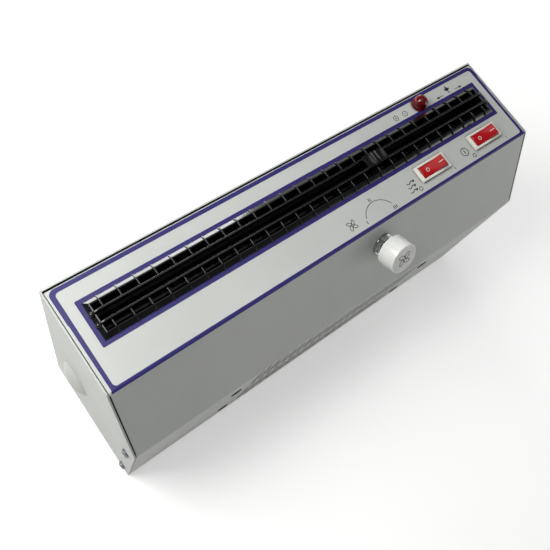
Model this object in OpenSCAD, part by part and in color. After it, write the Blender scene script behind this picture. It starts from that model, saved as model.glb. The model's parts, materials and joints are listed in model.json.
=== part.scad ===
// Bench ionizing air blower, lying on its back with the air outlet facing up.
// The origin is the middle of the flat base. +X runs along the cabinet towards
// the switches, -Y points to the control knob and +Z points out of the outlet.

/* [Cabinet] */
// Length of the cabinet over its end walls
body_l = 390; // [380:1:420]
// Width of the outlet panel, from the control slope to the far wall
panel_w = 76; // [74:1:84]
// How far the control slope runs out in front of the panel
slope_out = 35; // [33:1:42]
// Height of the control slope
slope_drop = 64; // [60:1:72]
// Height of the louvred skirt below the slope
skirt_h = 128; // [122:1:150]
// Thickness of the cabinet's sheet steel
sheet_t = 1.2; // [0.8:0.1:1.5]
// Outside radius of the bends in the sheet
bend_r = 2.2; // [1.8:0.1:3]
// Width of the open seam between the two halves of the cabinet
seam = 0.5; // [0.3:0.1:0.8]
// Height of the dome pressed into the left end wall
dome_h = 6; // [4:0.5:8]
// Radius of the dome where it leaves the end wall
dome_r = 15.5; // [13:0.5:18]

/* [Intake slots] */
// Number of slots in each of the two rows
slot_count = 22; // [16:1:23]
// Distance from one slot to the next
slot_pitch = 8; // [7:0.5:8.5]
// Width of one slot
slot_w = 3.6; // [3:0.1:3.9]
// Length of one slot
slot_l = 47; // [40:1:50]
// Gap between the upper row and the lower row
slot_row_gap = 12; // [10:1:16]
// Thickness of the filter foam behind the slots
filter_t = 4; // [3:0.5:5]

/* [Bracket holes] */
// Distance between the left and right threaded inserts
insert_span_x = 206; // [200:1:212]
// Distance between the upper and lower threaded inserts
insert_span_z = 64; // [56:1:70]
// Radius of the thread in the inserts
insert_r = 2.1; // [1.6:0.1:2.5]

/* [Outlet grille] */
// Length of the grille's frame
grille_l = 359; // [350:1:362]
// Width of the grille's frame
grille_w = 27.6; // [27:0.2:30]
// How far the grille sits right of the middle of the cabinet
grille_x = 1.2; // [0:0.1:2]
// How far the grille's middle line lies behind the middle of the cabinet
grille_y = 22; // [21:0.5:23]
// Height of the frame's bevel above the panel
bevel_h = 3; // [2:0.1:4]
// Width of the frame's bevel
bevel_w = 3.2; // [2.6:0.1:3.4]
// Number of cross ribs
rib_count = 27; // [21:2:29]
// Distance from one cross rib to the next
rib_pitch = 13.05; // [11:0.05:13.2]
// Thickness of a cross rib
rib_t = 1.1; // [0.9:0.1:1.5]
// Height of the cross ribs above the panel
rib_h = 4.2; // [3.8:0.1:4.8]
// Distance between the middles of the two slider rails
rail_gap = 7.8; // [7.4:0.1:8.2]
// Thickness of a rail
rail_t = 1.5; // [1.2:0.1:1.8]
// Height of the rails above the panel
rail_h = 6; // [5.2:0.1:7]
// Depth of the grille's collar below the top of the panel
collar_d = 9; // [8:0.5:10]

/* [Point cleaner] */
// Length of the cleaner's saddle
saddle_l = 19.6; // [16:0.2:24]
// Width of the cleaner's saddle
saddle_w = 10.4; // [10:0.1:11.5]
// Place of the cleaner along the grille
cleaner_x = 54.5; // [-120:0.5:120]

/* [Ion emitters] */
// Number of emitter needles
needle_count = 13; // [9:2:15]
// Radius of an emitter needle
needle_r = 0.7; // [0.5:0.1:0.9]
// How far the needles stand out of their bar
needle_out = 8; // [7:0.5:9]

/* [Cross-flow fan] */
// Radius of the impeller
fan_r = 22; // [20:0.5:23]
// Height of the fan's axle above the base
fan_z = 84; // [80:1:88]
// Distance of the fan's axle behind the middle of the cabinet
fan_y = 21; // [20:0.5:22]
// Number of impeller blades
blade_count = 20; // [16:1:24]
// Number of impeller sections
fan_sections = 4; // [3:1:5]
// Radius of the fan's axle
axle_r = 4; // [3:0.25:4.5]
// Left end of the scroll
scroll_x0 = -130; // [-134:1:-124]
// Right end of the scroll
scroll_x1 = 176; // [170:1:178]
// Thickness of the scroll's sheet
duct_t = 1; // [0.8:0.1:1.2]
// Height above the base at which the scroll meets the outlet duct
duct_z = 128; // [124:1:134]

/* [Speed knob] */
// Place of the knob along the cabinet
knob_x = 31; // [0:1:60]
// Distance of the knob's axle down the slope from the panel's edge
knob_s = 22; // [20:0.5:26]
// Radius of the knob
knob_r = 12.6; // [10:0.1:14]
// Height of the knob
knob_h = 18; // [14:0.5:22]
// Gap between the slope and the back of the knob
knob_gap = 4.2; // [3.6:0.1:6]
// Turn from one speed to the next
speed_step = 60; // [30:5:60]

/* [Rocker switches] */
// Place of the warm air switch along the cabinet
warm_x = 95.4; // [80:0.1:104]
// Place of the power switch along the cabinet
power_x = 155.5; // [140:0.1:162]
// Place of both switches across the cabinet
rocker_y = -5.3; // [-7:0.1:-4]
// Length of a switch bezel
bezel_l = 31; // [29:0.2:33]
// Width of a switch bezel
bezel_w = 14; // [13:0.2:15]
// Height of a switch bezel above the panel
bezel_h = 2; // [1.4:0.1:2.4]
// Radius of the rocker's rounded ends about its pivot
rocker_r = 12.6; // [11.6:0.1:12.8]
// Width of a rocker
rocker_w = 9.4; // [8:0.1:9.6]
// Depth of the rocker's pivot below the panel
rocker_pivot_d = 2; // [1.5:0.1:2.5]
// Half of the angle through which a rocker tips
rocker_tilt = 11; // [8:1:12]

/* [Ion lamp] */
// Place of the lamp along the cabinet
lamp_x = 124.4; // [110:0.1:140]
// Place of the lamp across the cabinet
lamp_y = 43.9; // [43.5:0.1:45.5]
// Radius of the lamp's lens
lamp_r = 4.6; // [3.8:0.1:4.8]
// Height of the lamp's lens above the panel
lamp_h = 9; // [7:0.5:10]

/* [Mains entry] */
// Place of the mains inlet across the right end wall
inlet_y = -16; // [-17:0.5:-15.5]
// Height of the mains inlet above the base
inlet_z = 32; // [28:1:40]
// Height of the fuse holder above the base
fuse_z = 70; // [64:1:80]
// Radius of the hole for the fuse holder
fuse_r = 6; // [5:0.1:7]

/* [Hidden] */
$fn = 48;

paint = "#b9bbb8";
black_abs = "#141416";
white_plastic = "#ecebe4";
red_plastic = "#c81824";
zinc = "#c9ccd0";
steel = "#9da1a6";
copper = "#b5652f";

fit = 0.3;                                   // gap round a piece that drops into a cut-out
run_fit = 0.05;                              // radial gap of a shaft in its bore
press_fit = 0.02;                            // radial gap of a pressed-in piece
body_h = skirt_h + slope_drop;
front_y = -(panel_w + slope_out) / 2;
edge_y = front_y + slope_out;                // bend between the slope and the panel
back_y = front_y + slope_out + panel_w;
end_x = body_l / 2;
slope_a = atan2(slope_drop, slope_out);
inner_x = end_x - sheet_t;                   // inner face of the end walls
deck_z = body_h - sheet_t;                   // underside of the panel

// ---------- outlines and placing ----------

function dir(a, b) = (b - a) / norm(b - a);
function left_of(v) = [-v[1], v[0]];
function polar(r, a) = [r * cos(a), r * sin(a)];

// An open path moved to its left by d, with mitred corners
function shifted(p, d) = [for (i = [0 : len(p) - 1])
    let (a = left_of(dir(p[max(i - 1, 0)], p[max(i, 1)])),
         b = left_of(dir(p[min(i, len(p) - 2)], p[min(i + 1, len(p) - 1)])))
    p[i] + (a + b) * d / (1 + a * b)];

// The arc that rounds the corner b between a and c, for a path that turns left
function corner_arc(a, b, c, r, n = 5) =
    let (u = dir(b, a), v = dir(b, c), half = acos(u * v) / 2,
         centre = b + dir([0, 0], u + v) * r / sin(half),
         start = b + u * r / tan(half) - centre,
         a0 = atan2(start[1], start[0]))
    [for (k = [0 : n]) centre + polar(r, a0 + (180 - 2 * half) * k / n)];

function filleted(p, r) = [for (i = [0 : len(p) - 1])
    each (i == 0 || i == len(p) - 1) ? [p[i]] : corner_arc(p[i - 1], p[i], p[i + 1], r)];

function reversed(p) = [for (i = [len(p) - 1 : -1 : 0]) p[i]];

// Cross-section of a bent sheet: outer path p turns left round its inside
module bent_sheet(p, t, r) {
    polygon(concat(filleted(p, r), reversed(filleted(shifted(p, t), r - t))));
}

// A plain strip of thickness t on the left of a smooth path
module strip(p, t) {
    polygon(concat(p, reversed(shifted(p, t))));
}

// Extrudes a Y-Z outline along X, from x0 to x1
module along_x(x0, x1) {
    translate([x0, 0, 0]) rotate([90, 0, 90]) linear_extrude(height = x1 - x0) children();
}

// Extrudes an X-Z outline along Y, w wide and centred
module along_y(w) {
    rotate([90, 0, 0]) linear_extrude(height = w, center = true) children();
}

// Box given by its lowest corner and its size
module box(at, size) {
    translate(at) cube(size);
}

// A cylinder along X from x0 to x1
module rod_x(x0, x1, r, y = 0, z = 0) {
    translate([x0, y, z]) rotate([0, 90, 0]) cylinder(h = x1 - x0, r = r);
}

// Rectangle with rounded corners, centred
module rounded_rect(w, d, r) {
    square([w - 2 * r, d], center = true);
    square([w, d - 2 * r], center = true);
    for (sx = [-1, 1], sy = [-1, 1])
        translate([sx * (w / 2 - r), sy * (d / 2 - r)]) circle(r);
}

// Puts a piece on the control slope: its +Z points out of the slope
module on_slope(x, s) {
    translate([x, edge_y, body_h]) rotate([slope_a, 0, 0]) translate([0, -s, 0]) children();
}

// Puts a piece on the panel
module on_panel(x, y) {
    translate([x, y, body_h]) children();
}

// ---------- cabinet ----------

screw_r = 2;
screw_inset = 8.7;                           // end screws, behind the skirt's face
screw_zs = [16, skirt_h - 28.6];
tab_w = 17;
tray_lip = 12;
tab_z0 = tray_lip + 0.5;
tab_l = skirt_h - 14 - tab_z0;
cover_lip = 12;
insert_zs = [60 - insert_span_z / 2, 60 + insert_span_z / 2];
slot_mid_z = 67;                             // middle of the gap between the slot rows
collar_inset = 2.6;                          // the collar, inside the frame's edge
grille_cut_l = grille_l - 2 * collar_inset;
grille_cut_w = grille_w - 2 * collar_inset;
bush_r = 4.6;                                // threaded neck of the speed switch

cover_path = [
    [back_y - sheet_t - seam, body_h - cover_lip],
    [back_y - sheet_t - seam, body_h],
    [edge_y, body_h],
    [front_y, skirt_h],
    [front_y, 0.4]];

tray_path = [
    [front_y + sheet_t + fit, tray_lip],
    [front_y + sheet_t + fit, 0],
    [back_y, 0],
    [back_y, body_h]];

module slot_outline() {
    square([slot_w, slot_l - slot_w], center = true);
    for (s = [-1, 1]) translate([0, s * (slot_l - slot_w) / 2]) circle(slot_w / 2, $fn = 24);
}

// The two rows of upright intake slots, as an X-Z outline
module slot_field() {
    for (i = [0 : slot_count - 1], s = [-1, 1])
        translate([(i - (slot_count - 1) / 2) * slot_pitch,
            slot_mid_z + s * (slot_row_gap + slot_l) / 2]) slot_outline();
}

module front_cover() {
    half = inner_x - seam;
    color(paint) difference() {
        union() {
            along_x(-half, half) bent_sheet(cover_path, sheet_t, bend_r);
            for (x0 = [-inner_x, inner_x - sheet_t])     // tabs behind the end walls
                difference() {
                    box([x0, front_y + sheet_t / 2, tab_z0], [sheet_t, tab_w - sheet_t / 2, tab_l]);
                    for (z = screw_zs)
                        rod_x(x0 - 1, x0 + sheet_t + 1, screw_r + run_fit, front_y + screw_inset, z);
                }
        }
        for (s = [-1, 1])                    // the seam beside each end wall
            box([s * (inner_x - seam / 2) - seam / 2, front_y - 1, -1],
                [seam, 1 + sheet_t * 0.75, skirt_h + 2]);
        translate([0, front_y, 0]) along_y(4 * sheet_t) slot_field();
        for (s = [-1, 1], z = insert_zs)
            translate([s * insert_span_x / 2, front_y, z]) rotate([90, 0, 0])
                cylinder(h = 4 * sheet_t, r = insert_shank_r, center = true);
        on_panel(grille_x, grille_y)
            cube([grille_cut_l + 2 * fit, grille_cut_w + 2 * fit, 6 * sheet_t], center = true);
        for (x = [warm_x, power_x])
            on_panel(x, rocker_y)
                cube([switch_l + 2 * fit, switch_w + 2 * fit, 6 * sheet_t], center = true);
        on_panel(lamp_x, lamp_y)
            cylinder(h = 6 * sheet_t, r = lamp_neck_r + fit, center = true);
        on_slope(knob_x, knob_s)
            cylinder(h = 6 * sheet_t, r = bush_r + fit, center = true);
    }
}

dome_sphere_r = (dome_r * dome_r + dome_h * dome_h) / (2 * dome_h);

// A dome pressed out of the sheet; +Z points out of the wall's outer face
module pressed_dome() {
    difference() {
        translate([0, 0, dome_h - dome_sphere_r]) sphere(dome_sphere_r, $fn = 96);
        translate([0, 0, dome_h - dome_sphere_r]) sphere(dome_sphere_r - sheet_t, $fn = 96);
        translate([0, 0, -50 - sheet_t]) cube(100, center = true);
    }
}

module rear_tray() {
    corners = [[front_y, 0], [back_y, 0], [back_y, body_h], [edge_y, body_h], [front_y, skirt_h]];
    outline = concat([corners[0]],
        corner_arc(corners[0], corners[1], corners[2], bend_r),
        [corners[2]],
        corner_arc(corners[2], corners[3], corners[4], bend_r),
        corner_arc(corners[3], corners[4], corners[0], bend_r));
    color(paint) difference() {
        union() {
            along_x(-inner_x, inner_x) bent_sheet(tray_path, sheet_t, bend_r);
            difference() {
                for (x0 = [-end_x, inner_x])
                    along_x(x0, x0 + sheet_t) polygon(outline);
                rod_x(-end_x - 1, -inner_x + 1, dome_r - sheet_t * 0.6, fan_y, fan_z);
            }
            translate([-end_x, fan_y, fan_z]) rotate([0, -90, 0]) pressed_dome();
        }
        for (z = screw_zs)
            rod_x(-end_x - 1, end_x + 1, screw_r + fit / 2, front_y + screw_inset, z);
        box([inner_x - 1, inlet_y - inlet_w / 2 - fit, inlet_z - inlet_h / 2 - fit],
            [sheet_t + 2, inlet_w + 2 * fit, inlet_h + 2 * fit]);
        rod_x(inner_x - 1, end_x + 1, fuse_r + fit, inlet_y, fuse_z);
        for (s = [-1, 1])
            rod_x(inner_x - 1, end_x + 1, inlet_screw_r + fit / 2, inlet_y + s * inlet_screw_span / 2, inlet_z);
    }
}

// A cross-slotted pan-head screw; +Z points out of the head
module pan_screw(r, l, head_r, head_h) {
    difference() {
        union() {
            translate([0, 0, -l]) cylinder(h = l + 0.1, r = r);
            cylinder(h = head_h * 0.55, r = head_r);
            translate([0, 0, head_h * 0.55]) cylinder(h = head_h * 0.45, r1 = head_r, r2 = head_r * 0.72);
        }
        for (a = [0, 90])
            rotate([0, 0, a]) translate([0, 0, head_h])
                cube([head_r * 1.1, head_r * 0.22, head_h], center = true);
    }
}

module end_screws() {
    color(zinc) for (s = [-1, 1], z = screw_zs)
        translate([s * end_x, front_y + screw_inset, z]) rotate([0, s * 90, 0])
            pan_screw(screw_r, 7, 3.6, 2.4);
}

insert_shank_r = insert_r + 1.1;

// Riveted thread inserts that take a bracket's bolts
module bracket_inserts() {
    color(zinc) for (s = [-1, 1], z = insert_zs)
        translate([s * insert_span_x / 2, front_y, z]) rotate([90, 0, 0]) difference() {
            union() {
                cylinder(h = 0.7, r = insert_shank_r + 1.6);
                translate([0, 0, -sheet_t]) cylinder(h = sheet_t + 0.1, r = insert_shank_r - press_fit);
                translate([0, 0, -9]) cylinder(h = 9 - sheet_t, r = insert_shank_r + 0.8);
            }
            translate([0, 0, -10]) cylinder(h = 12, r = insert_r);
        }
}

// Foam that lies against the inside of the skirt
module intake_filter() {
    w = slot_count * slot_pitch + 6;
    h = 2 * slot_l + slot_row_gap + 2;
    color("#2b2d2f")
        box([-w / 2, front_y + sheet_t, slot_mid_z - h / 2],
            [w, filter_t, h]);
}

// ---------- outlet grille ----------

frame_wall = bevel_w + 0.8;                  // frame, from its outer edge to the opening
frame_lip = 0.6;                             // upright edge below the bevel
rail_low = collar_d - 2;                     // depth of the rails and ribs below the panel
open_l = grille_l - 2 * frame_wall;
open_w = grille_w - 2 * frame_wall;

// Takes the bevel off one side of the frame, half away from the middle
module bevel_cut(half) {
    translate([0, half, 0]) along_x(-grille_l, grille_l)
        polygon([[1, frame_lip], [0, frame_lip], [-bevel_w, bevel_h],
            [-bevel_w, bevel_h + 1], [1, bevel_h + 1]]);
}

module grille_frame() {
    difference() {
        union() {
            translate([0, 0, bevel_h / 2]) cube([grille_l, grille_w, bevel_h], center = true);
            translate([0, 0, -collar_d / 2 + 0.05])
                cube([grille_cut_l, grille_cut_w, collar_d + 0.1], center = true);
        }
        cube([open_l, open_w, 4 * collar_d], center = true);
        for (a = [0, 180]) rotate([0, 0, a]) bevel_cut(grille_w / 2);
        for (a = [90, 270]) rotate([0, 0, a]) bevel_cut(grille_l / 2);
    }
}

// A cross rib from a rail out over the frame's bevel, as a Y-Z outline
module rib_outline() {
    polygon([[rail_gap / 2, -rail_low], [open_w / 2 + 0.4, -rail_low], [open_w / 2 + 0.4, 0.2],
        [grille_w / 2 - 0.1, 0.2], [grille_w / 2 - 0.1, frame_lip + 0.8],
        [open_w / 2 + 0.4, rib_h], [rail_gap / 2, rib_h]]);
}

// One rail with ends that curve down to the panel, as an X-Z outline
module rail_outline() {
    translate([-open_l / 2 - 0.2, -rail_low]) square([open_l + 0.4, rail_low + 0.5]);
    translate([rail_h - grille_l / 2, 0.1]) square([grille_l - 2 * rail_h, rail_h - 0.1]);
    for (s = [-1, 1]) translate([s * (grille_l / 2 - rail_h), 0]) intersection() {
        circle(rail_h);
        translate([-rail_h, 0.1]) square([2 * rail_h, rail_h]);
    }
}

module outlet_grille() {
    foot_r = 2;                              // round feet at the ends of the rails
    color(black_abs) on_panel(grille_x, grille_y) {
        grille_frame();
        for (i = [0 : rib_count - 1], a = [0, 180]) rotate([0, 0, a])
            translate([(i - (rib_count - 1) / 2) * rib_pitch, 0, 0])
                along_x(-rib_t / 2, rib_t / 2) rib_outline();
        for (s = [-1, 1]) translate([0, s * rail_gap / 2, 0]) {
            along_y(rail_t) rail_outline();
            for (e = [-1, 1]) translate([e * (grille_l / 2 - foot_r * 0.7), 0, 0]) {
                cylinder(h = foot_r, r = foot_r);
                translate([0, 0, foot_r]) sphere(foot_r);
            }
        }
    }
}

// ---------- point cleaner ----------

slide_gap = 0.15;                            // running gap of the saddle on its rails
lip_h = 1.4;                                 // lips that hold the saddle under the rails
keel_w = rail_gap - rail_t - 2 * slide_gap;
keel_z = -rail_low - slide_gap - lip_h;

module cleaner_slider() {
    color(black_abs) translate([cleaner_x, grille_y, body_h]) {
        top = rail_h + slide_gap;
        difference() {
            translate([0, 0, top + 0.7]) cube([saddle_l, saddle_w, 1.4], center = true);
            for (s = [-1, 1])                // thumb pads, dished into both ends
                translate([s * (saddle_l / 2 - 4), 0, top + 1.4 + 11.4])
                    rotate([90, 0, 0]) cylinder(h = saddle_w - 2, r = 12, center = true, $fn = 96);
        }
        for (x = [-1.75, 1.75])              // grip ridges
            translate([x, 0, top + 2.4]) rotate([90, 0, 0]) {
                cylinder(h = saddle_w - 1, r = 0.5, center = true, $fn = 24);
                translate([0, -0.8, 0]) cube([1, 1.6, saddle_w - 1], center = true);
            }
        keel_l = saddle_l - 5;
        box([-keel_l / 2, -keel_w / 2, keel_z], [keel_l, keel_w, top - keel_z + 0.1]);
        translate([0, 0, keel_z + lip_h / 2])
            cube([saddle_l - 9, rail_gap + rail_t, lip_h], center = true);
    }
}

// Two rows of bristle that pass on either side of the needles
module cleaner_brush() {
    l = saddle_l - 10;
    depth = needle_out + 1;
    row_t = 1.8;
    clear = 0.5;                             // between a row and the needles
    color("#3a3d40") translate([cleaner_x, grille_y, body_h + keel_z]) for (a = [0, 180])
        rotate([0, 0, a]) box([-l / 2, needle_r + clear, -depth], [l, row_t, depth]);
}

// ---------- ion emitters and outlet duct ----------

duct_half_l = grille_cut_l / 2 + fit;
duct_half_w = grille_cut_w / 2 + fit;
tip_z = body_h + keel_z - 3;                 // needle tips, clear below the cleaner's keel
bar_top = tip_z - needle_out;
bar_h = 8;
bar_w = 6;
needle_span = (duct_half_l - 12) * 2;
needle_step = needle_span / (needle_count - 1);
needle_seat = 4;

module each_needle() {
    for (i = [0 : needle_count - 1])
        translate([grille_x - needle_span / 2 + i * needle_step, grille_y, 0]) children();
}

module emitter_bar() {
    color("#dcd9cf") difference() {
        box([grille_x - duct_half_l, grille_y - bar_w / 2, bar_top - bar_h],
            [2 * duct_half_l, bar_w, bar_h]);
        each_needle() translate([0, 0, bar_top - needle_seat])
            cylinder(h = needle_seat + 1, r = needle_r + press_fit, $fn = 24);
    }
}

module emitter_needles() {
    point = 2.5;
    color(steel) each_needle() {
        translate([0, 0, bar_top - needle_seat])
            cylinder(h = tip_z - point - bar_top + needle_seat, r = needle_r, $fn = 24);
        translate([0, 0, tip_z - point]) cylinder(h = point, r1 = needle_r, r2 = 0.08, $fn = 24);
    }
}

module outlet_duct() {
    color("#a9adb0") translate([grille_x, grille_y, 0]) difference() {
        box([-duct_half_l - duct_t, -duct_half_w - duct_t, duct_z],
            [2 * (duct_half_l + duct_t), 2 * (duct_half_w + duct_t), deck_z - duct_z]);
        box([-duct_half_l, -duct_half_w, duct_z + duct_t],
            [2 * duct_half_l, 2 * duct_half_w, deck_z]);
        box([scroll_x0 - grille_x, -duct_half_w, duct_z - 1],
            [scroll_x1 - scroll_x0, 2 * duct_half_w, 3 * duct_t]);
    }
}

heater_l = 236;
heater_z = duct_z + 6;
heater_h = 14;
strip_t = 0.8;

// Mica strips that hold the heating element clear of the duct
module heater_frame() {
    color("#c9b48a") translate([grille_x, grille_y, heater_z]) {
        for (s = [-1, 1])
            translate([0, s * (duct_half_w - strip_t / 2), heater_h / 2])
                cube([heater_l, strip_t, heater_h], center = true);
        for (s = [-1, 1])
            translate([s * (heater_l / 2 - strip_t / 2), 0, heater_h / 2])
                cube([strip_t, 2 * duct_half_w, heater_h], center = true);
    }
}

// Heating bar with cross fins
module heater_fins() {
    fin_w = 2 * (duct_half_w - strip_t);
    l = heater_l - 2 * strip_t;
    pitch = 7.2;
    n = floor(l / pitch);
    color("#b8bcc0") translate([grille_x, grille_y, heater_z + heater_h / 2]) {
        cube([l, 4, 2.4], center = true);
        for (i = [0 : n - 1])
            translate([(i - (n - 1) / 2) * pitch, 0, 0]) cube([0.7, fin_w, heater_h - 3], center = true);
    }
}

// ---------- cross-flow fan ----------

plate_t = 1.5;
bush_out_r = axle_r + 3;
fan_gap = 3;
fan_x0 = scroll_x0 + fan_gap;
fan_x1 = scroll_x1 - fan_gap;
axle = [fan_y, fan_z];
duct_joint = 6;                              // straight end of the scroll below the duct

// Spiral wall round the far side, from under the impeller up to the duct
module fan_scroll() {
    start = -140;
    end = 25;
    wall = concat(
        [for (a = [start : 11 : end]) axle + polar(fan_r + 3 + 5 * (a - start) / (end - start), a)],
        [for (d = [duct_joint, 0]) [grille_y + duct_half_w + duct_t, duct_z - d]]);
    color("#a9adb0") along_x(scroll_x0, scroll_x1) strip(wall, duct_t);
}

// Curled lip on the near side that keeps the air from circling round
module vortex_tongue() {
    wall = concat(
        [for (a = [205 : -11 : 150]) axle + polar(fan_r + 2, a)],
        [for (d = [duct_joint, 0]) [grille_y - duct_half_w, duct_z - d]]);
    color("#a9adb0") along_x(scroll_x0, scroll_x1) strip(wall, duct_t);
}

module fan_end_plate(x0) {
    color("#a9adb0") difference() {
        box([x0, fan_y - 27, sheet_t], [plate_t, 58, duct_z - sheet_t]);
        rod_x(x0 - 1, x0 + plate_t + 1, bush_out_r, fan_y, fan_z);
    }
}

module fan_end_plate_left() {
    fan_end_plate(scroll_x0 - plate_t);
}

module fan_end_plate_right() {
    fan_end_plate(scroll_x1);
}

// Flanged sintered bushes, one in each end plate
module fan_bearings() {
    color("#a8824a") for (s = [-1, 1]) {
        x = s < 0 ? scroll_x0 - plate_t : scroll_x1 + plate_t;
        difference() {
            union() {
                rod_x(min(x, x - s * (plate_t + 1)), max(x, x - s * (plate_t + 1)),
                    bush_out_r - press_fit, fan_y, fan_z);
                rod_x(min(x, x + s * 2), max(x, x + s * 2), bush_out_r + 2, fan_y, fan_z);
            }
            rod_x(x - 10, x + 10, axle_r + run_fit, fan_y, fan_z);
        }
    }
}

// One curved blade, as a Y-Z outline about the axle
module blade_outline() {
    blade_d = 6.4;
    steps = 4;
    strip([for (k = [0 : steps]) let (u = k / steps)
        polar(fan_r - 0.4 - blade_d * (1 - u), 17 * u * u)], 0.8);
}

module fan_rotor() {
    disc_t = 1.6;
    color("#5d6368") translate([0, fan_y, fan_z]) {
        along_x(fan_x0 + 0.2, fan_x1 - 0.2)
            for (i = [0 : blade_count - 1]) rotate(i * 360 / blade_count) blade_outline();
        for (i = [0 : fan_sections]) {
            x = fan_x0 + i * (fan_x1 - fan_x0 - disc_t) / fan_sections;
            inner = i == 0 || i == fan_sections ? axle_r + press_fit : fan_r - 7.4;
            difference() {
                rod_x(x, x + disc_t, fan_r);
                rod_x(x - 1, x + disc_t + 1, inner);
            }
        }
        for (x = [fan_x0 + disc_t / 2, fan_x1 - disc_t / 2 - 10]) difference() {
            rod_x(x, x + 10, axle_r + 3.5);
            rod_x(x - 1, x + 11, axle_r + press_fit);
        }
    }
}

shaft_x0 = -end_x + 5;

// Motor shaft on the left and stub axle on the right
module fan_shaft() {
    color(steel) {
        rod_x(shaft_x0, fan_x0 + 12, axle_r, fan_y, fan_z);
        rod_x(fan_x1 - 12, scroll_x1 + plate_t + 5, axle_r, fan_y, fan_z);
    }
}

// ---------- shaded-pole motor ----------

stack_l = 24;
stack_x0 = -end_x + 19;
stack_x1 = stack_x0 + stack_l;
stack_half = 27;
air_gap = 0.5;
armature_r = 15;
yoke_h = 10;
window_h = 15;
coil_h = 26;
post_y = 21;

module motor_stator() {
    color("#6f7377") difference() {
        box([stack_x0, fan_y - stack_half, fan_z - 46], [stack_l, 2 * stack_half, 70]);
        rod_x(stack_x0 - 1, stack_x1 + 1, armature_r + air_gap, fan_y, fan_z);
        box([stack_x0 - 1, fan_y - 19, fan_z - 46 + yoke_h], [stack_l + 2, 38, window_h]);
        box([stack_x0 - 1, fan_y - 2, fan_z + 10], [stack_l + 2, 4, 20]);
    }
}

module motor_rotor() {
    color(steel) difference() {
        rod_x(stack_x0 - 1, stack_x1 + 1, armature_r, fan_y, fan_z);
        rod_x(stack_x0 - 2, stack_x1 + 2, axle_r + press_fit, fan_y, fan_z);
    }
}

// Winding round the lower limb of the stack
module motor_coil() {
    color(copper) difference() {
        translate([stack_x0 + stack_l / 2, fan_y, fan_z - 46 + yoke_h / 2])
            rotate([90, 0, 0]) linear_extrude(height = 30, center = true)
                rounded_rect(stack_l + 12, coil_h, 4);
        box([stack_x0, fan_y - 40, fan_z - 46], [stack_l, 80, yoke_h]);
    }
}

// Bridge across one face of the stack with the shaft's bearing in it
module bearing_bridge(x, s) {
    t = 3;
    gap = 4;
    difference() {
        union() {
            box([x + s * gap + min(0, s * t), fan_y - 26, fan_z - 8], [t, 52, 16]);
            for (y = [-post_y, post_y])
                rod_x(min(x, x + s * gap), max(x, x + s * gap), 4, fan_y + y, fan_z);
            rod_x(min(x + s * gap, x + s * (gap + t + 2)), max(x + s * gap, x + s * (gap + t + 2)),
                10, fan_y, fan_z);
        }
        rod_x(x - 20, x + 20, axle_r + run_fit, fan_y, fan_z);
    }
}

module motor_brackets() {
    color("#b3b6b9") {
        bearing_bridge(stack_x0, -1);
        bearing_bridge(stack_x1, 1);
        for (y = [-post_y, post_y])          // posts that hang the motor on the fan's end plate
            rod_x(stack_x1 + 7, scroll_x0 - plate_t, 4, fan_y + y, fan_z);
    }
}

// ---------- electrics inside ----------

module high_voltage_module() {
    size = [70, 34, 28];
    at = [-end_x + 18, front_y + 6, sheet_t];
    color("#26282b") {
        box(at, size);
        box(at + [-6, 8, 0], [size[0] + 12, size[1] - 16, 2.5]);
        translate(at + [12, size[1] / 2, size[2] - 0.1]) {
            cylinder(h = 5, r = 6);
            cylinder(h = 9, r = 3.4);
        }
    }
}

module terminal_block() {
    pitch = 8;
    ways = 5;
    color("#e6e3d6") translate([104, front_y + 12, sheet_t]) {
        cube([ways * pitch, 18, 8]);
        for (i = [0 : ways - 1]) difference() {
            translate([i * pitch + 1, 4, 7.9]) cube([pitch - 2, 10, 7]);
            translate([(i + 0.5) * pitch, 9, 9]) cylinder(h = 10, r = 1.8, $fn = 24);
        }
    }
}

// ---------- speed control ----------

shaft_r = 3;
nut_t = 2.4;
washer_t = 0.5;

module speed_switch() {
    color("#2a2c2e") on_slope(knob_x, knob_s) difference() {
        union() {
            translate([0, 0, -sheet_t - 8]) cube([26, 26, 16], center = true);
            translate([0, 0, -sheet_t - 20]) cylinder(h = 5, r = 11);
            translate([0, 0, -sheet_t - 0.1]) cylinder(h = sheet_t + knob_gap - 0.5, r = bush_r);
        }
        translate([0, 0, -sheet_t - 14]) cylinder(h = 40, r = shaft_r + run_fit);
    }
}

module switch_nut() {
    color(zinc) on_slope(knob_x, knob_s) difference() {
        union() {
            cylinder(h = washer_t, r = bush_r + 3.2);
            translate([0, 0, washer_t]) cylinder(h = nut_t, r = bush_r + 2.5, $fn = 6);
        }
        translate([0, 0, -1]) cylinder(h = 6, r = bush_r + run_fit);
    }
}

module switch_shaft() {
    color(steel) on_slope(knob_x, knob_s) difference() {
        translate([0, 0, -sheet_t - 13.5]) cylinder(h = 13.5 + sheet_t + knob_gap + 11, r = shaft_r);
        translate([shaft_r - 1.2, -5, knob_gap - 0.2]) cube([5, 10, 20]);
    }
}

// Round knob with a raised pointer, at its first speed
module speed_knob() {
    wall = 1.8;
    cap = 4.5;
    edge = 0.8;
    color(white_plastic) on_slope(knob_x, knob_s) translate([0, 0, knob_gap]) {
        difference() {
            union() {
                cylinder(h = knob_h - edge, r = knob_r, $fn = 96);
                translate([0, 0, knob_h - edge])
                    cylinder(h = edge, r1 = knob_r, r2 = knob_r - edge, $fn = 96);
                rotate([0, 0, speed_step]) translate([0, knob_r - 0.3, knob_h / 2 - edge / 2])
                    cube([1.4, 1.6, knob_h - edge], center = true);
            }
            difference() {
                translate([0, 0, -1]) cylinder(h = knob_h - cap + 1, r = knob_r - wall);
                translate([0, 0, -2]) cylinder(h = knob_h + 2, r = shaft_r + 2.6);
            }
            difference() {
                translate([0, 0, -1]) cylinder(h = 12.2, r = shaft_r + press_fit);
                translate([shaft_r - 1.18, -5, -2]) cube([5, 10, 20]);
            }
        }
    }
}

// ---------- rocker switches ----------

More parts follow.
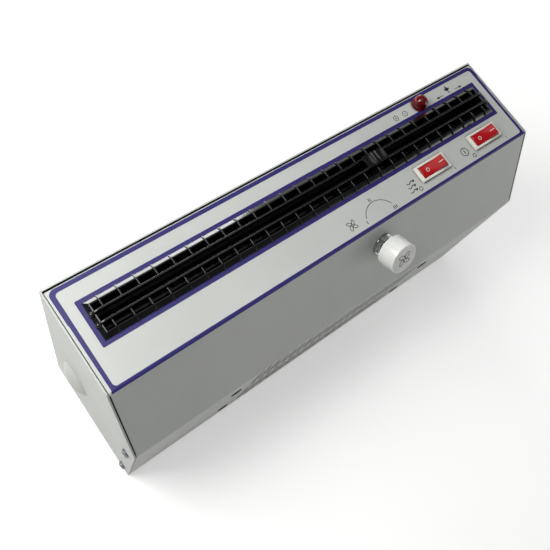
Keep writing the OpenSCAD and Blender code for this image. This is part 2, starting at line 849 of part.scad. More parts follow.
switch_l = bezel_l - 3;
switch_w = bezel_w - 2;
switch_d = 21;
rocker_gap = 0.3;
pivot_r = 1.2;

module switch_body(x) {
    on_panel(x, rocker_y) {
        color(white_plastic) difference() {
            union() {
                linear_extrude(height = bezel_h - 0.6) rounded_rect(bezel_l, bezel_w, 0.8);
                translate([0, 0, bezel_h - 0.7])
                    linear_extrude(height = 0.7) rounded_rect(bezel_l - 0.7, bezel_w - 0.7, 0.6);
                translate([0, 0, -switch_d / 2 + 0.1]) cube([switch_l, switch_w, switch_d + 0.2], center = true);
            }
            translate([0, 0, 1]) cube([2 * (rocker_r + rocker_gap), rocker_w + 2 * rocker_gap, 20], center = true);
            translate([0, 0, -rocker_pivot_d]) rotate([90, 0, 0])
                cylinder(h = switch_w + 2, r = pivot_r + run_fit, center = true, $fn = 32);
        }
        color("#c9a24a") for (i = [-1 : 1])
            translate([i * 9, 0, -switch_d - 4]) cube([4.8, 0.8, 8], center = true);
    }
}

// A rocker pressed at its left end; it turns about a pin along Y
module rocker(x) {
    ridge = bezel_h + 0.2 + rocker_pivot_d;
    color(red_plastic) translate([x, rocker_y, body_h - rocker_pivot_d]) rotate([0, -rocker_tilt, 0]) {
        along_y(rocker_w) intersection() {
            circle(rocker_r, $fn = 96);
            polygon([[-rocker_r, -4], [rocker_r, -4], [rocker_r, ridge + rocker_r * tan(rocker_tilt)],
                [0, ridge], [-rocker_r, ridge + rocker_r * tan(rocker_tilt)]]);
        }
        rotate([90, 0, 0]) cylinder(h = rocker_w + 1.4, r = pivot_r, center = true, $fn = 32);
    }
}

module power_switch_body() {
    switch_body(power_x);
}

module power_rocker() {
    rocker(power_x);
}

module warm_air_switch_body() {
    switch_body(warm_x);
}

module warm_air_rocker() {
    rocker(warm_x);
}

// ---------- ion lamp ----------

lamp_neck_r = lamp_r - 0.6;
lamp_flutes = 12;

module lamp_lens() {
    color("#b01218", 0.85) on_panel(lamp_x, lamp_y) {
        cylinder(h = 1.2, r = lamp_r + 0.9);
        difference() {
            union() {
                translate([0, 0, 1.1]) cylinder(h = lamp_h - 4.1, r = lamp_r);
                translate([0, 0, lamp_h - 3]) cylinder(h = 2, r1 = lamp_r, r2 = lamp_r - 1.2);
                translate([0, 0, lamp_h - 1]) cylinder(h = 1, r1 = lamp_r - 1.2, r2 = lamp_r - 2.8);
            }
            for (i = [0 : lamp_flutes - 1]) rotate([0, 0, i * 360 / lamp_flutes])
                translate([lamp_r + 0.5, 0, 1.2]) cylinder(h = lamp_h, r = 0.9, $fn = 16);
        }
        translate([0, 0, -8]) cylinder(h = 8.1, r = lamp_neck_r);
    }
}

module lamp_body() {
    color(black_abs) on_panel(lamp_x, lamp_y) {
        translate([0, 0, -26]) cylinder(h = 18, r = lamp_neck_r);
        difference() {
            translate([0, 0, -sheet_t - 3]) cylinder(h = 3, r = lamp_neck_r + 2.2, $fn = 6);
            translate([0, 0, -10]) cylinder(h = 20, r = lamp_neck_r + run_fit);
        }
    }
}

// ---------- mains entry ----------

inlet_w = 27;                                // body of the inlet, along Y
inlet_h = 19.4;                              // and along Z
inlet_screw_span = 40;
inlet_screw_r = 1.5;
inlet_flange_t = 2.5;
socket_w = 24;
socket_h = 16.4;
socket_d = 17;
socket_x0 = end_x + inlet_flange_t - socket_d;
pin_step = 7;

module mains_inlet() {
    color(black_abs) difference() {
        union() {
            translate([end_x + inlet_flange_t, inlet_y, inlet_z]) rotate([0, -90, 0])
                linear_extrude(height = inlet_flange_t) rounded_rect(inlet_h + 3, inlet_screw_span + 10, 3);
            box([socket_x0 - 1.5, inlet_y - inlet_w / 2, inlet_z - inlet_h / 2],
                [end_x - socket_x0 + 1.6, inlet_w, inlet_h]);
        }
        box([socket_x0, inlet_y - socket_w / 2, inlet_z - socket_h / 2],
            [socket_d + 1, socket_w, socket_h]);
        for (s = [-1, 1])
            rod_x(end_x - 1, end_x + 5, inlet_screw_r + fit / 2, inlet_y + s * inlet_screw_span / 2, inlet_z);
    }
}

// Live, neutral and earth pins with their rear tabs
module inlet_pins() {
    pin = [13, 2, 4];
    color("#d0c08a") for (p = [[-pin_step, -2], [pin_step, -2], [0, 2]])
        translate([socket_x0, inlet_y + p[0], inlet_z + p[1]]) {
            translate([pin[0] / 2, 0, 0]) cube(pin, center = true);
            translate([-1.5 - 3.5, 0, 0]) cube([7, 0.8, 4.8], center = true);
        }
}

module inlet_screws() {
    color(zinc) for (s = [-1, 1])
        translate([end_x + inlet_flange_t, inlet_y + s * inlet_screw_span / 2, inlet_z])
            rotate([0, 90, 0]) pan_screw(inlet_screw_r, 8, 2.8, 1.8);
}

fuse_flange_t = 1.6;

module fuse_holder() {
    color(black_abs) difference() {
        union() {
            rod_x(end_x - 28, end_x + 0.1, fuse_r, inlet_y, fuse_z);
            rod_x(end_x, end_x + fuse_flange_t, fuse_r + 2, inlet_y, fuse_z);
        }
        rod_x(end_x - 26, end_x + 5, fuse_r - 1.4, inlet_y, fuse_z);
    }
}

module fuse_cap() {
    r = fuse_r + 0.4;
    color(black_abs) difference() {
        union() {
            rod_x(end_x + fuse_flange_t, end_x + dome_h, r, inlet_y, fuse_z);
            rod_x(end_x - 20, end_x + fuse_flange_t + 0.1, fuse_r - 1.4 - run_fit, inlet_y, fuse_z);
        }
        box([end_x + dome_h - 1.4, inlet_y - r - 1, fuse_z - 0.7], [2, 2 * r + 2, 1.4]);
    }
}

front_cover();
rear_tray();
end_screws();
bracket_inserts();
intake_filter();
outlet_grille();
cleaner_slider();
cleaner_brush();
emitter_bar();
emitter_needles();
outlet_duct();
heater_frame();
heater_fins();
fan_scroll();
vortex_tongue();
fan_end_plate_left();
fan_end_plate_right();
fan_bearings();
fan_rotor();
fan_shaft();
motor_rotor();
motor_stator();
motor_coil();
motor_brackets();
high_voltage_module();
terminal_block();
speed_switch();
switch_nut();
switch_shaft();
speed_knob();
power_switch_body();
power_rocker();
warm_air_switch_body();
warm_air_rocker();
lamp_lens();
lamp_body();
mains_inlet();
inlet_pins();
inlet_screws();
fuse_holder();
fuse_cap();
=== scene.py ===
# Looks of a bench ionizing air blower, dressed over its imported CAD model.
# Plans on a surface are in millimetres and everything placed is in metres, in the model's frame:
# the origin is in the middle of the base, +X points to the rocker switches, -Y to the speed
# knob and +Z out of the outlet grille.
import json
import math

import bmesh
import bpy
from mathutils import Matrix, Vector

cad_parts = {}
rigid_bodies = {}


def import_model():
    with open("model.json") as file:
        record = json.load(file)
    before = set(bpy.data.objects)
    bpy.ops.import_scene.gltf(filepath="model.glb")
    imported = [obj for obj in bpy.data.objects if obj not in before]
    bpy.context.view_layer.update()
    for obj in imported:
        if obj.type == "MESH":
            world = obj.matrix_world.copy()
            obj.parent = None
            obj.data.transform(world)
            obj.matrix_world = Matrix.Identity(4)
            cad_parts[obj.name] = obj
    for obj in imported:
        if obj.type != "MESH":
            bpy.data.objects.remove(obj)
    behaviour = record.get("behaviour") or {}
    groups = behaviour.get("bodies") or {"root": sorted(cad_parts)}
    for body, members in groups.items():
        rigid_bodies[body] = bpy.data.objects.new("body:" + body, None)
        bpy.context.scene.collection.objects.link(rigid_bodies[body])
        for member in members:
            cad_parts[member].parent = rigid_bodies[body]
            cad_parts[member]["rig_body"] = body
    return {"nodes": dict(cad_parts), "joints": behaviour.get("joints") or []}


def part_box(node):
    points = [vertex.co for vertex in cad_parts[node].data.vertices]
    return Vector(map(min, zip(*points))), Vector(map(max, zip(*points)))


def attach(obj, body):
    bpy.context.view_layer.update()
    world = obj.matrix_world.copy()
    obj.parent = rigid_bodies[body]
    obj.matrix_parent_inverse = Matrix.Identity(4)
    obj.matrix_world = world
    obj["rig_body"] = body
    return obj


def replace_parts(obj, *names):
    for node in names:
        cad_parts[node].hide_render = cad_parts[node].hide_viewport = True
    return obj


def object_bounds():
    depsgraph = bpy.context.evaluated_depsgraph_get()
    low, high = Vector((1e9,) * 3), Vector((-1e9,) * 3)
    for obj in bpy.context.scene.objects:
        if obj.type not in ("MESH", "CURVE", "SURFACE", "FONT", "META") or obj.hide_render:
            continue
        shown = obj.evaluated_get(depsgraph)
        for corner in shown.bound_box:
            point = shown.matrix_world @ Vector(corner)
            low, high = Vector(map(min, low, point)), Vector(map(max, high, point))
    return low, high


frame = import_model()
cad_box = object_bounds()
MM = 0.001


# ---------- sizes shared with the CAD model ----------

def joint(name):
    """One of the model's joints, by its name."""
    return next(j for j in frame["joints"] if j["name"] == name)


PANEL_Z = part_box("rear_tray")[1].z           # top of the outlet panel
KNOB_AXIS = Vector(joint("speed_turn")["axis"]).normalized()
KNOB_SEAT = Vector(joint("speed_turn")["pos_m"])     # where the knob's axis meets the slope
SLOPE = math.atan2(-KNOB_AXIS.y, KNOB_AXIS.z)
UP_SLOPE = Vector((0, math.cos(SLOPE), math.sin(SLOPE)))
EDGE_Y = (KNOB_SEAT + UP_SLOPE * (PANEL_Z - KNOB_SEAT.z) / math.sin(SLOPE)).y
BEND_R = 2.2 * MM                            # outside radius of the bends in the sheet
BEND_Y = EDGE_Y + BEND_R * math.tan(SLOPE / 2)       # where the flat of the panel ends
FAR_BEND_Y = max(v.co.y for v in frame["nodes"]["front_cover"].data.vertices
                 if v.co.z > PANEL_Z - 1e-5)         # and where it ends at the back
GRILLE_LO, GRILLE_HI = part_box("outlet_grille")
GRILLE_MID = (GRILLE_LO + GRILLE_HI) / 2
KNOB_FACE = max((v.co - KNOB_SEAT).dot(KNOB_AXIS)
                for v in frame["nodes"]["speed_knob"].data.vertices)   # height of its face
ROCKER_RIDGE = 4.2 * MM                      # ridge of a rocker above its pivot
ROCKER_TILT = math.radians(11)
SMOOTH_BELOW = math.radians(32)              # a sharper meeting of two faces stays an edge


# ---------- camera ----------

def viewing_camera():
    """Stands above the left front corner and looks down along the cabinet."""
    right = Vector((0.77933, -0.57949, 0.23840))
    up = Vector((0.48264, 0.79777, 0.36142))
    back = Vector((-0.39963, -0.16660, 0.90141))
    data = bpy.data.cameras.new("viewing_camera")
    data.lens = 42.50
    data.sensor_width = 36
    data.clip_start = 0.01
    camera = bpy.data.objects.new("viewing_camera", data)
    camera.matrix_world = Matrix.Translation((-0.235355, -0.083702, 0.580472)) @ Matrix(
        (right, up, back)).transposed().to_4x4()
    bpy.context.scene.collection.objects.link(camera)
    bpy.context.scene.camera = camera


viewing_camera()


# ---------- nodes and finishes ----------

def linear(colour):
    """An sRGB hex colour as the linear values that a shader takes."""
    parts = [int(colour[i:i + 2], 16) / 255 for i in (1, 3, 5)]
    return [c / 12.92 if c <= 0.04045 else ((c + 0.055) / 1.055) ** 2.4 for c in parts] + [1.0]


def add(tree, kind, sockets=None, **settings):
    """Adds one node. sockets gives each input its value, or the output that feeds it."""
    made = tree.nodes.new(kind)
    for key, value in settings.items():
        setattr(made, key, value)
    for key, value in (sockets or {}).items():
        if isinstance(value, bpy.types.NodeSocket):
            tree.links.new(value, made.inputs[key])
        else:
            made.inputs[key].default_value = value
    return made


class Finish:
    """A material for one of the blower's own surfaces, from its colour, gloss and grain."""

    def __init__(self, name, colour, roughness, **sockets):
        self.material = bpy.data.materials.new(name)
        self.material.use_nodes = True
        self.tree = self.material.node_tree
        self.tree.nodes.clear()
        self.place = add(self.tree, "ShaderNodeTexCoord").outputs["Object"]
        named = {key.replace("_", " "): value for key, value in sockets.items()}
        self.shader = add(self.tree, "ShaderNodeBsdfPrincipled",
                          {"Base Color": linear(colour), "Roughness": roughness, **named})
        add(self.tree, "ShaderNodeOutputMaterial", {"Surface": self.shader.outputs["BSDF"]})
        self.colour, self.roughness, self.normal = linear(colour), roughness, None

    def drawn_out(self, stretch):
        """Object coordinates, drawn out along the axes whose stretch is under 1."""
        return add(self.tree, "ShaderNodeMapping",
                   {"Vector": self.place, "Scale": stretch}).outputs["Vector"]

    def towards(self, mask, colour=None, roughness=None):
        """Moves the colour and the roughness to second values where the mask is 1."""
        if colour is not None:
            mix = add(self.tree, "ShaderNodeMix",
                      {"Factor": mask, 6: self.colour, 7: linear(colour)}, data_type="RGBA")
            self.colour = mix.outputs[2]
            self.tree.links.new(self.colour, self.shader.inputs["Base Color"])
        if roughness is not None:
            mix = add(self.tree, "ShaderNodeMix",
                      {"Factor": mask, 2: self.roughness, 3: roughness}, data_type="FLOAT")
            self.roughness = mix.outputs[0]
            self.tree.links.new(self.roughness, self.shader.inputs["Roughness"])
        return self

    def mottled(self, size_mm, colour=None, roughness=None, low=0.4, high=0.65, stretch=(1, 1, 1)):
        """Uneven patches of a second colour and roughness."""
        noise = add(self.tree, "ShaderNodeTexNoise",
                    {"Vector": self.drawn_out(stretch), "Scale": 1 / (size_mm * MM), "Detail": 3.0})
        mask = add(self.tree, "ShaderNodeMapRange",
                   {"Value": noise.outputs[0], "From Min": low, "From Max": high})
        return self.towards(mask.outputs[0], colour, roughness)

    def raised(self, height, depth_mm):
        """Bumps the surface by a height pattern."""
        sockets = {"Height": height, "Distance": depth_mm * MM, "Strength": 1.0}
        if self.normal is not None:
            sockets["Normal"] = self.normal
        self.normal = add(self.tree, "ShaderNodeBump", sockets).outputs["Normal"]
        self.tree.links.new(self.normal, self.shader.inputs["Normal"])
        return self

    def grained(self, size_mm, depth_mm, stretch=(1, 1, 1), detail=2.0):
        """Fine noise relief, such as a moulded skin, a peel in paint or brushed lines."""
        noise = add(self.tree, "ShaderNodeTexNoise",
                    {"Vector": self.drawn_out(stretch), "Scale": 1 / (size_mm * MM),
                     "Detail": detail})
        return self.raised(noise.outputs[0], depth_mm)

    def soft_edged(self, radius_mm):
        """Turns the light round a sharp edge as over a small radius."""
        bevel = add(self.tree, "ShaderNodeBevel", {"Radius": radius_mm * MM}, samples=6)
        self.normal = bevel.outputs["Normal"]
        self.tree.links.new(self.normal, self.shader.inputs["Normal"])
        return self

    def rubbed(self, width_mm, colour, roughness=None, amount=0.6):
        """Wear in broken patches along the edges."""
        tree = self.tree
        bevel = add(tree, "ShaderNodeBevel", {"Radius": width_mm * MM}, samples=6)
        true = add(tree, "ShaderNodeNewGeometry").outputs["True Normal"]
        meet = add(tree, "ShaderNodeVectorMath", {0: bevel.outputs[0], 1: true},
                   operation="DOT_PRODUCT")
        edge = add(tree, "ShaderNodeMapRange", {"Value": meet.outputs["Value"], "From Min": 0.99,
                                               "From Max": 0.8})
        patch = add(tree, "ShaderNodeTexNoise", {"Vector": self.place, "Scale": 260.0,
                                                "Detail": 4.0})
        broken = add(tree, "ShaderNodeMapRange", {"Value": patch.outputs[0], "From Min": 0.42,
                                                 "From Max": 0.6, "To Max": amount})
        mask = add(tree, "ShaderNodeMath", {0: edge.outputs[0], 1: broken.outputs[0]},
                   operation="MULTIPLY")
        return self.towards(mask.outputs[0], colour, roughness)

    def shaded_in_hollows(self, reach_mm, colour):
        """Painted shade: moves the colour towards a dark one in slots, seams and corners, by
        ambient occlusion.
        """
        open_ = add(self.tree, "ShaderNodeAmbientOcclusion", {"Distance": reach_mm * MM}, samples=6)
        mask = add(self.tree, "ShaderNodeMapRange", {"Value": open_.outputs["AO"],
                   "From Min": 0.88, "From Max": 0.5, "To Max": 0.92})
        return self.towards(mask.outputs[0], colour)

    def waved(self, pitch_mm, depth_mm, direction="X", colour=None):
        """Even ridges across one axis, such as laminations, turned rings or wound wire."""
        wave = add(self.tree, "ShaderNodeTexWave", {"Vector": self.place,
                   "Scale": math.pi / (10 * pitch_mm * MM), "Distortion": 0.0},
                   bands_direction=direction)
        # A colour given goes on the ridges' crests, as a painted highlight.
        if colour is not None:
            self.towards(wave.outputs[1], colour)
        return self.raised(wave.outputs[1], depth_mm)


def powder_coat():
    """Silver-grey polyester powder coat on steel: satin, with a fine peel and metallic flecks."""
    paint = Finish("silver_grey_powder_coat", "#bdbfbb", 0.5, Specular_IOR_Level=0.16,
                   Metallic=0.08)
    paint.soft_edged(0.5)
    fleck = add(paint.tree, "ShaderNodeTexVoronoi", {"Vector": paint.place, "Scale": 1900.0})
    bright = add(paint.tree, "ShaderNodeMapRange", {"Value": fleck.outputs["Distance"],
                 "From Min": 0.28, "From Max": 0.05, "To Max": 0.5})
    paint.towards(bright.outputs[0], "#cfd1ce", 0.4)   # 0.5 mm flecks, coarser than real ones
    paint.mottled(0.8, "#b4b6b2", None, 0.5, 0.75)
    paint.mottled(55, "#c2c4c0", 0.55, 0.35, 0.7)      # where hands and cloths have been
    paint.rubbed(0.5, "#d3d4d2", 0.35, 0.5)
    paint.shaded_in_hollows(3, "#1a1a19")                         # painted shade: slots, seams and corners darkened
    paint.grained(1.4, 0.012, detail=1.0)              # the peel of the cured powder
    return paint.material


def gloss_black_abs():
    """Moulded ABS: deep black and glossy, with faint flow unevenness and dust."""
    abs_ = Finish("gloss_black_abs", "#060608", 0.11, IOR=1.5)
    abs_.mottled(9, None, 0.2, 0.35, 0.7)
    abs_.mottled(0.7, "#141518", 0.25, 0.68, 0.85)       # dust that has settled
    abs_.rubbed(0.35, "#26272b", 0.22, 0.5)
    abs_.grained(3.5, 0.02, detail=1.5)
    return abs_.material


def white_knob_abs():
    """White ABS with a polished mould's gloss and a hint of light in its edges."""
    knob = Finish("polished_white_abs", "#dddeda", 0.14, IOR=1.5, Subsurface_Weight=0.12,
                  Subsurface_Radius=(0.004, 0.0035, 0.003), Subsurface_Scale=0.6)
    knob.mottled(14, "#d6d7d2", 0.2, 0.4, 0.7)
    knob.grained(4, 0.012, detail=1.0)
    return knob.material


def white_nylon():
    """Moulded nylon of the switch bezels: creamy white, slightly waxy."""
    nylon = Finish("white_moulded_nylon", "#e8e6dd", 0.28, IOR=1.53, Subsurface_Weight=0.15,
                   Subsurface_Radius=(0.003, 0.0025, 0.002), Subsurface_Scale=0.5)
    nylon.mottled(6, "#dedbd0", 0.36, 0.4, 0.7)
    nylon.grained(0.6, 0.006)
    return nylon.material


def red_polycarbonate():
    """Tinted polycarbonate of the rockers: clear red with light carried inside."""
    rocker = Finish("red_tinted_polycarbonate", "#b00b14", 0.1, IOR=1.45,
                    Subsurface_Weight=0.12, Subsurface_Radius=(0.003, 0.0005, 0.0005),
                    Subsurface_Scale=0.8)
    rocker.mottled(5, "#9c0911", 0.18, 0.4, 0.7)
    rocker.grained(2.5, 0.008, detail=1.0)
    return rocker.material


def red_acrylic():
    """Red acrylic of the ion lamp: clear, polished and fluted."""
    lens = Finish("clear_red_acrylic", "#b5060e", 0.05, IOR=1.49, Transmission_Weight=0.7)
    lens.mottled(5, "#6a0209", 0.08, 0.4, 0.7)
    lens.grained(3, 0.01, detail=1.0)
    return lens.material


def zinc_plate():
    """Bright zinc plate on steel fasteners, with a soft crystal bloom."""
    zinc = Finish("bright_zinc_plate", "#9a9da1", 0.3, Metallic=1.0)
    zinc.mottled(1.3, "#6f7277", 0.42, 0.35, 0.7)
    zinc.rubbed(0.3, "#dfe1e3", 0.2, 0.6)
    zinc.grained(0.5, 0.01)
    return zinc.material


def nickel_plate():
    """Nickel plate on turned brass: warm, mirror-like, with turning rings."""
    nickel = Finish("nickel_plated_brass", "#bfc0c0", 0.1, Metallic=1.0)
    nickel.mottled(1.8, "#77797a", 0.2, 0.4, 0.7)
    nickel.grained(0.35, 0.006, stretch=(1, 0.2, 0.2))
    return nickel.material


def filter_foam():
    """Open-cell polyurethane foam, drawn with cells of 1.2 mm so that they show."""
    foam = Finish("polyurethane_filter_foam", "#1d1f21", 0.95)
    cells = add(foam.tree, "ShaderNodeTexVoronoi", {"Vector": foam.place, "Scale": 850.0},
                feature="DISTANCE_TO_EDGE")
    strut = add(foam.tree, "ShaderNodeMapRange", {"Value": cells.outputs["Distance"],
                "From Min": 0.05, "From Max": 0.22, "To Min": 1.0, "To Max": 0.0})
    foam.towards(strut.outputs[0], "#3b3e41")
    foam.raised(strut.outputs[0], 0.5)
    return foam.material


def galvanised_steel():
    """Hot-dip galvanised sheet of the air path, with its flat grey spangle."""
    sheet = Finish("galvanised_sheet", "#8f9498", 0.38, Metallic=0.9)
    spangle = add(sheet.tree, "ShaderNodeTexVoronoi", {"Vector": sheet.place, "Scale": 160.0})
    tone = add(sheet.tree, "ShaderNodeSeparateColor", {"Color": spangle.outputs["Color"]})
    sheet.towards(tone.outputs[0], "#a9aeb2", 0.5)     # crystals of about 6 mm
    sheet.grained(0.8, 0.01)
    return sheet.material


def plain_metal(name, colour, dull, roughness, size_mm, depth_mm, stretch=(1, 1, 1)):
    """A bare metal part: its tone, its dulled patches and the grain its making left."""
    metal = Finish(name, colour, roughness, Metallic=1.0)
    metal.mottled(12, dull, min(1.0, roughness + 0.15), 0.35, 0.7)
    metal.grained(size_mm, depth_mm, stretch)
    return metal


def plain_moulding(name, colour, second, roughness, size_mm, depth_mm, ior=1.5):
    """An unpolished moulded or cast part: its tone, its patches and its skin."""
    part = Finish(name, colour, roughness, IOR=ior)
    part.mottled(8, second, min(1.0, roughness + 0.1), 0.35, 0.7)
    part.grained(size_mm, depth_mm)
    return part


def ink(name, colour, second, roughness):
    """Screen ink, a film with soft unevenness from the mesh that it was pressed through."""
    film = Finish(name, colour, roughness)
    film.mottled(0.9, second, roughness + 0.12, 0.45, 0.7)
    film.grained(0.35, 0.004)
    return film.material


PAINT = powder_coat()
BLACK_ABS = gloss_black_abs()
KNOB_WHITE = white_knob_abs()
BEZEL_WHITE = white_nylon()
ROCKER_RED = red_polycarbonate()
LENS_RED = red_acrylic()
ZINC = zinc_plate()
NICKEL = nickel_plate()
GALVANISED = galvanised_steel()
# Screen ink: a deep, even border with hardly any shine.
VIOLET_INK = ink("violet_blue_screen_ink", "#1f1760", "#282070", 0.45)
# Screen ink: dense, nearly flat marks that look printed on the paint.
BLACK_INK = ink("black_screen_ink", "#0b0b0d", "#1a1a1e", 0.5)
# Pad ink on the rockers: opaque and a little raised against the clear red.
WHITE_INK = ink("white_pad_ink", "#f0eeea", "#e0dcd6", 0.4)
# Pressed phenolic: a brown black, duller than the mouldings round it. Also painted shade in the
# wells round the rockers.
PHENOLIC_AND_WELL_SHADE = plain_moulding("dark_phenolic_and_well_shade", "#1d1b1a", "#2b2826", 0.45, 0.8, 0.02).material
# Glass-filled nylon from a spark-eroded mould: a fine, even texture with a low sheen.
BLACK_NYLON = plain_moulding("black_glass_filled_nylon", "#101012", "#1c1c1f", 0.42, 0.5,
                             0.02).material
# Painted shade: a matt black in place of the shadow in the gaps at the slope's ends.
GAP_SHADE_BLACK = plain_moulding("painted_gap_shade", "#0d0d0d", "#1a1a1a", 0.8, 0.6, 0.05).material
# ABS from a polished mould: sharp highlights along the saddle's edges.
SADDLE_BLACK = plain_moulding("polished_black_abs", "#060607", "#0c0c0e", 0.12, 3, 0.01).material
# Unpigmented nylon: the yellowish white of a terminal block.
TERMINAL_NYLON = plain_moulding("natural_nylon", "#d9d4c2", "#cdc7b2", 0.4, 0.7, 0.01).material
# Painted shade: the emitter's insulator made near black, in place of the shade behind the grille,
# so that the bright needles stand out from it.
INSULATOR_SHADE_BLACK = plain_moulding("insulator_painted_shade_black", "#0c0c0d", "#151516", 0.4, 0.9,
                           0.01).material
# Painted shade: the duct made near black, in place of the shade behind the grille.
DUCT_SHADE_BLACK = plain_moulding("duct_painted_shade_black", "#0e0e0f", "#19191a", 0.5, 1.2,
                            0.02).material
# Painted shade: the bracket inserts made near black and a little grey, in place of the shade in
# their holes.
INSERT_HOLE_SHADE = plain_moulding("insert_hole_painted_shade", "#18191a", "#2c2d2e", 0.4, 0.5, 0.01).material
# Poured resin: a wide, slow unevenness under a gloss, as it set by itself.
RESIN = plain_moulding("poured_potting_resin", "#0d0d0f", "#17171a", 0.2, 9, 0.08).material
# Mica board: brown flakes pressed flat, with a faint glint.
MICA = plain_moulding("pressed_mica_board", "#3e3424", "#55482f", 0.35, 1.5, 0.03, 1.58).material
# Ground steel: grinding lines along the shafts that draw the highlight out.
STEEL = plain_metal("ground_steel", "#a3a6aa", "#85888c", 0.25, 0.4, 0.006, (0.05, 1, 1)).material
# Ground tungsten: a darker and finer shine than steel, for the needles.
NEEDLE = plain_metal("ground_tungsten", "#8f9195", "#74767a", 0.22, 0.2, 0.003).material
# Rolled aluminium: soft streaks along the impeller's blades.
BLADES = plain_metal("rolled_aluminium", "#7c8084", "#6b6f73", 0.4, 0.9, 0.01,
                     (0.06, 1, 1)).material
# Heater aluminium, made dark as painted shade behind the grille, and almost without shine.
FINS_SHADE_DARK = plain_metal("heater_aluminium_painted_shade", "#4d4b4a", "#3a3837", 0.5, 0.6, 0.01).material
# Die-cast aluminium: the pale, slightly rough skin of a casting.
BRIDGE = plain_metal("die_cast_aluminium", "#9b9ea1", "#86898c", 0.45, 1.2, 0.03).material
# Sintered bronze: brown and grainy, as pressed powder is.
BRONZE = plain_metal("sintered_bronze", "#80603a", "#5f4527", 0.5, 0.3, 0.02).material
# Stamped brass: the yellow of the switches' tabs.
BRASS = plain_metal("stamped_brass", "#b7985a", "#97793f", 0.3, 0.6, 0.008).material
# Nickel on the inlet's pins: a warm white shine.
PINS = plain_metal("nickel_plated_pins", "#bcb8aa", "#9d998b", 0.22, 0.5, 0.005).material
# Stacked laminations: even lines that show the motor's core is made of sheets.
STACK = plain_metal("stacked_laminations", "#54575a", "#43464a", 0.42, 1.1,
                    0.01).waved(0.6, 0.06, "X").material
# Enamelled wire: copper ridges side by side, with a varnish shine; the lighter copper on the
# ridges' crests is a painted highlight.
WINDING = plain_metal("enamelled_copper_wire", "#8f4726", "#73361b", 0.25, 0.5,
                      0.01).waved(0.5, 0.12, "Y", "#a8592f").material
FOAM = filter_foam()

CAD_FINISHES = {
    "front_cover": PAINT, "rear_tray": PAINT, "bracket_inserts": INSERT_HOLE_SHADE, "inlet_screws": ZINC,
    "intake_filter": FOAM, "emitter_bar": INSULATOR_SHADE_BLACK, "emitter_needles": NEEDLE,
    "outlet_duct": DUCT_SHADE_BLACK, "fan_scroll": GALVANISED, "vortex_tongue": GALVANISED,
    "fan_end_plate_left": GALVANISED, "fan_end_plate_right": GALVANISED, "heater_frame": MICA,
    "heater_fins": FINS_SHADE_DARK, "fan_bearings": BRONZE, "fan_rotor": BLADES, "fan_shaft": STEEL,
    "switch_shaft": STEEL, "motor_rotor": STEEL, "motor_stator": STACK, "motor_coil": WINDING,
    "motor_brackets": BRIDGE, "high_voltage_module": RESIN, "terminal_block": TERMINAL_NYLON,
    "speed_switch": PHENOLIC_AND_WELL_SHADE, "lamp_body": BLACK_NYLON, "inlet_pins": PINS,
    "fuse_holder": BLACK_NYLON,
}
for node, material in CAD_FINISHES.items():
    for slot in frame["nodes"][node].material_slots:
        slot.material = material


# ---------- making and placing pieces ----------

def solid(name, shape, material, outward=True):
    """Turns a bmesh into an object with its own finish."""
    if outward:
        bmesh.ops.recalc_face_normals(shape, faces=shape.faces[:])
    mesh = bpy.data.meshes.new(name)
    shape.to_mesh(mesh)
    shape.free()
    mesh.materials.append(material)
    made = bpy.data.objects.new(name, mesh)
    bpy.context.scene.collection.objects.link(made)
    return made


def fitted(made, body):
    """Gives an object, with no modifier left on it, to its body."""
    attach(made, body)
    return made


def piece(name, shape, material, body, outward=True):
    """Makes and fits a piece that needs no modifier."""
    return fitted(solid(name, shape, material, outward), body)


def smoothed(made):
    """Shades the faces smooth up to the sharp edges."""
    made.data.polygons.foreach_set("use_smooth", [True] * len(made.data.polygons))
    made.data.set_sharp_from_angle(angle=SMOOTH_BELOW)
    return made


def settled(made):
    """Applies an object's modifiers for good and smooths what isn't an edge."""
    graph = bpy.context.evaluated_depsgraph_get()
    mesh = bpy.data.meshes.new_from_object(made.evaluated_get(graph))
    made.modifiers.clear()
    made.data = mesh
    mesh.name = made.name
    return smoothed(made)


def rounded(made, radius_mm, segments=3, angle=30):
    """Rounds an object's edges as its mould or tool leaves them."""
    bevel = made.modifiers.new("rounding", "BEVEL")
    bevel.width = radius_mm * MM
    bevel.segments = segments
    bevel.limit_method = "ANGLE"
    bevel.angle_limit = math.radians(angle)
    return made


def softened(node, name, radius_mm, material, segments=3):
    """A copy of a CAD piece with rounded edges, shown in its place."""
    shape = bmesh.new()
    shape.from_mesh(frame["nodes"][node].data)
    bmesh.ops.remove_doubles(shape, verts=shape.verts[:], dist=2e-6)
    bmesh.ops.dissolve_limit(shape, angle_limit=math.radians(1), verts=shape.verts[:],
                             edges=shape.edges[:])
    body = frame["nodes"][node]["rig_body"]
    made = settled(rounded(solid(name, shape, material, outward=False), radius_mm, segments))
    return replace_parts(fitted(made, body), node)


# ---------- printed marks ----------

FILM = 0.04 * MM                             # thickness of the printed film


def on_panel(p, h):
    """A plan point, x and y in millimetres, on the panel. Past the bend it follows the sheet."""
    x, y = p[0] * MM, p[1] * MM
    flat = min(max(y, BEND_Y), FAR_BEND_Y)
    turn = (y - flat) / BEND_R
    return Vector((x, flat + (BEND_R + h) * math.sin(turn),
                   PANEL_Z - BEND_R + (BEND_R + h) * math.cos(turn)))


def on_slope(p, h):
    """A plan point round the knob's axis, with y up the slope and h out of it, from the seat."""
    return KNOB_SEAT + Vector((p[0] * MM, 0, 0)) + UP_SLOPE * p[1] * MM + KNOB_AXIS * h


def on_knob(p, h):
    """A plan point on the knob's face."""
    return on_slope(p, h + KNOB_FACE)


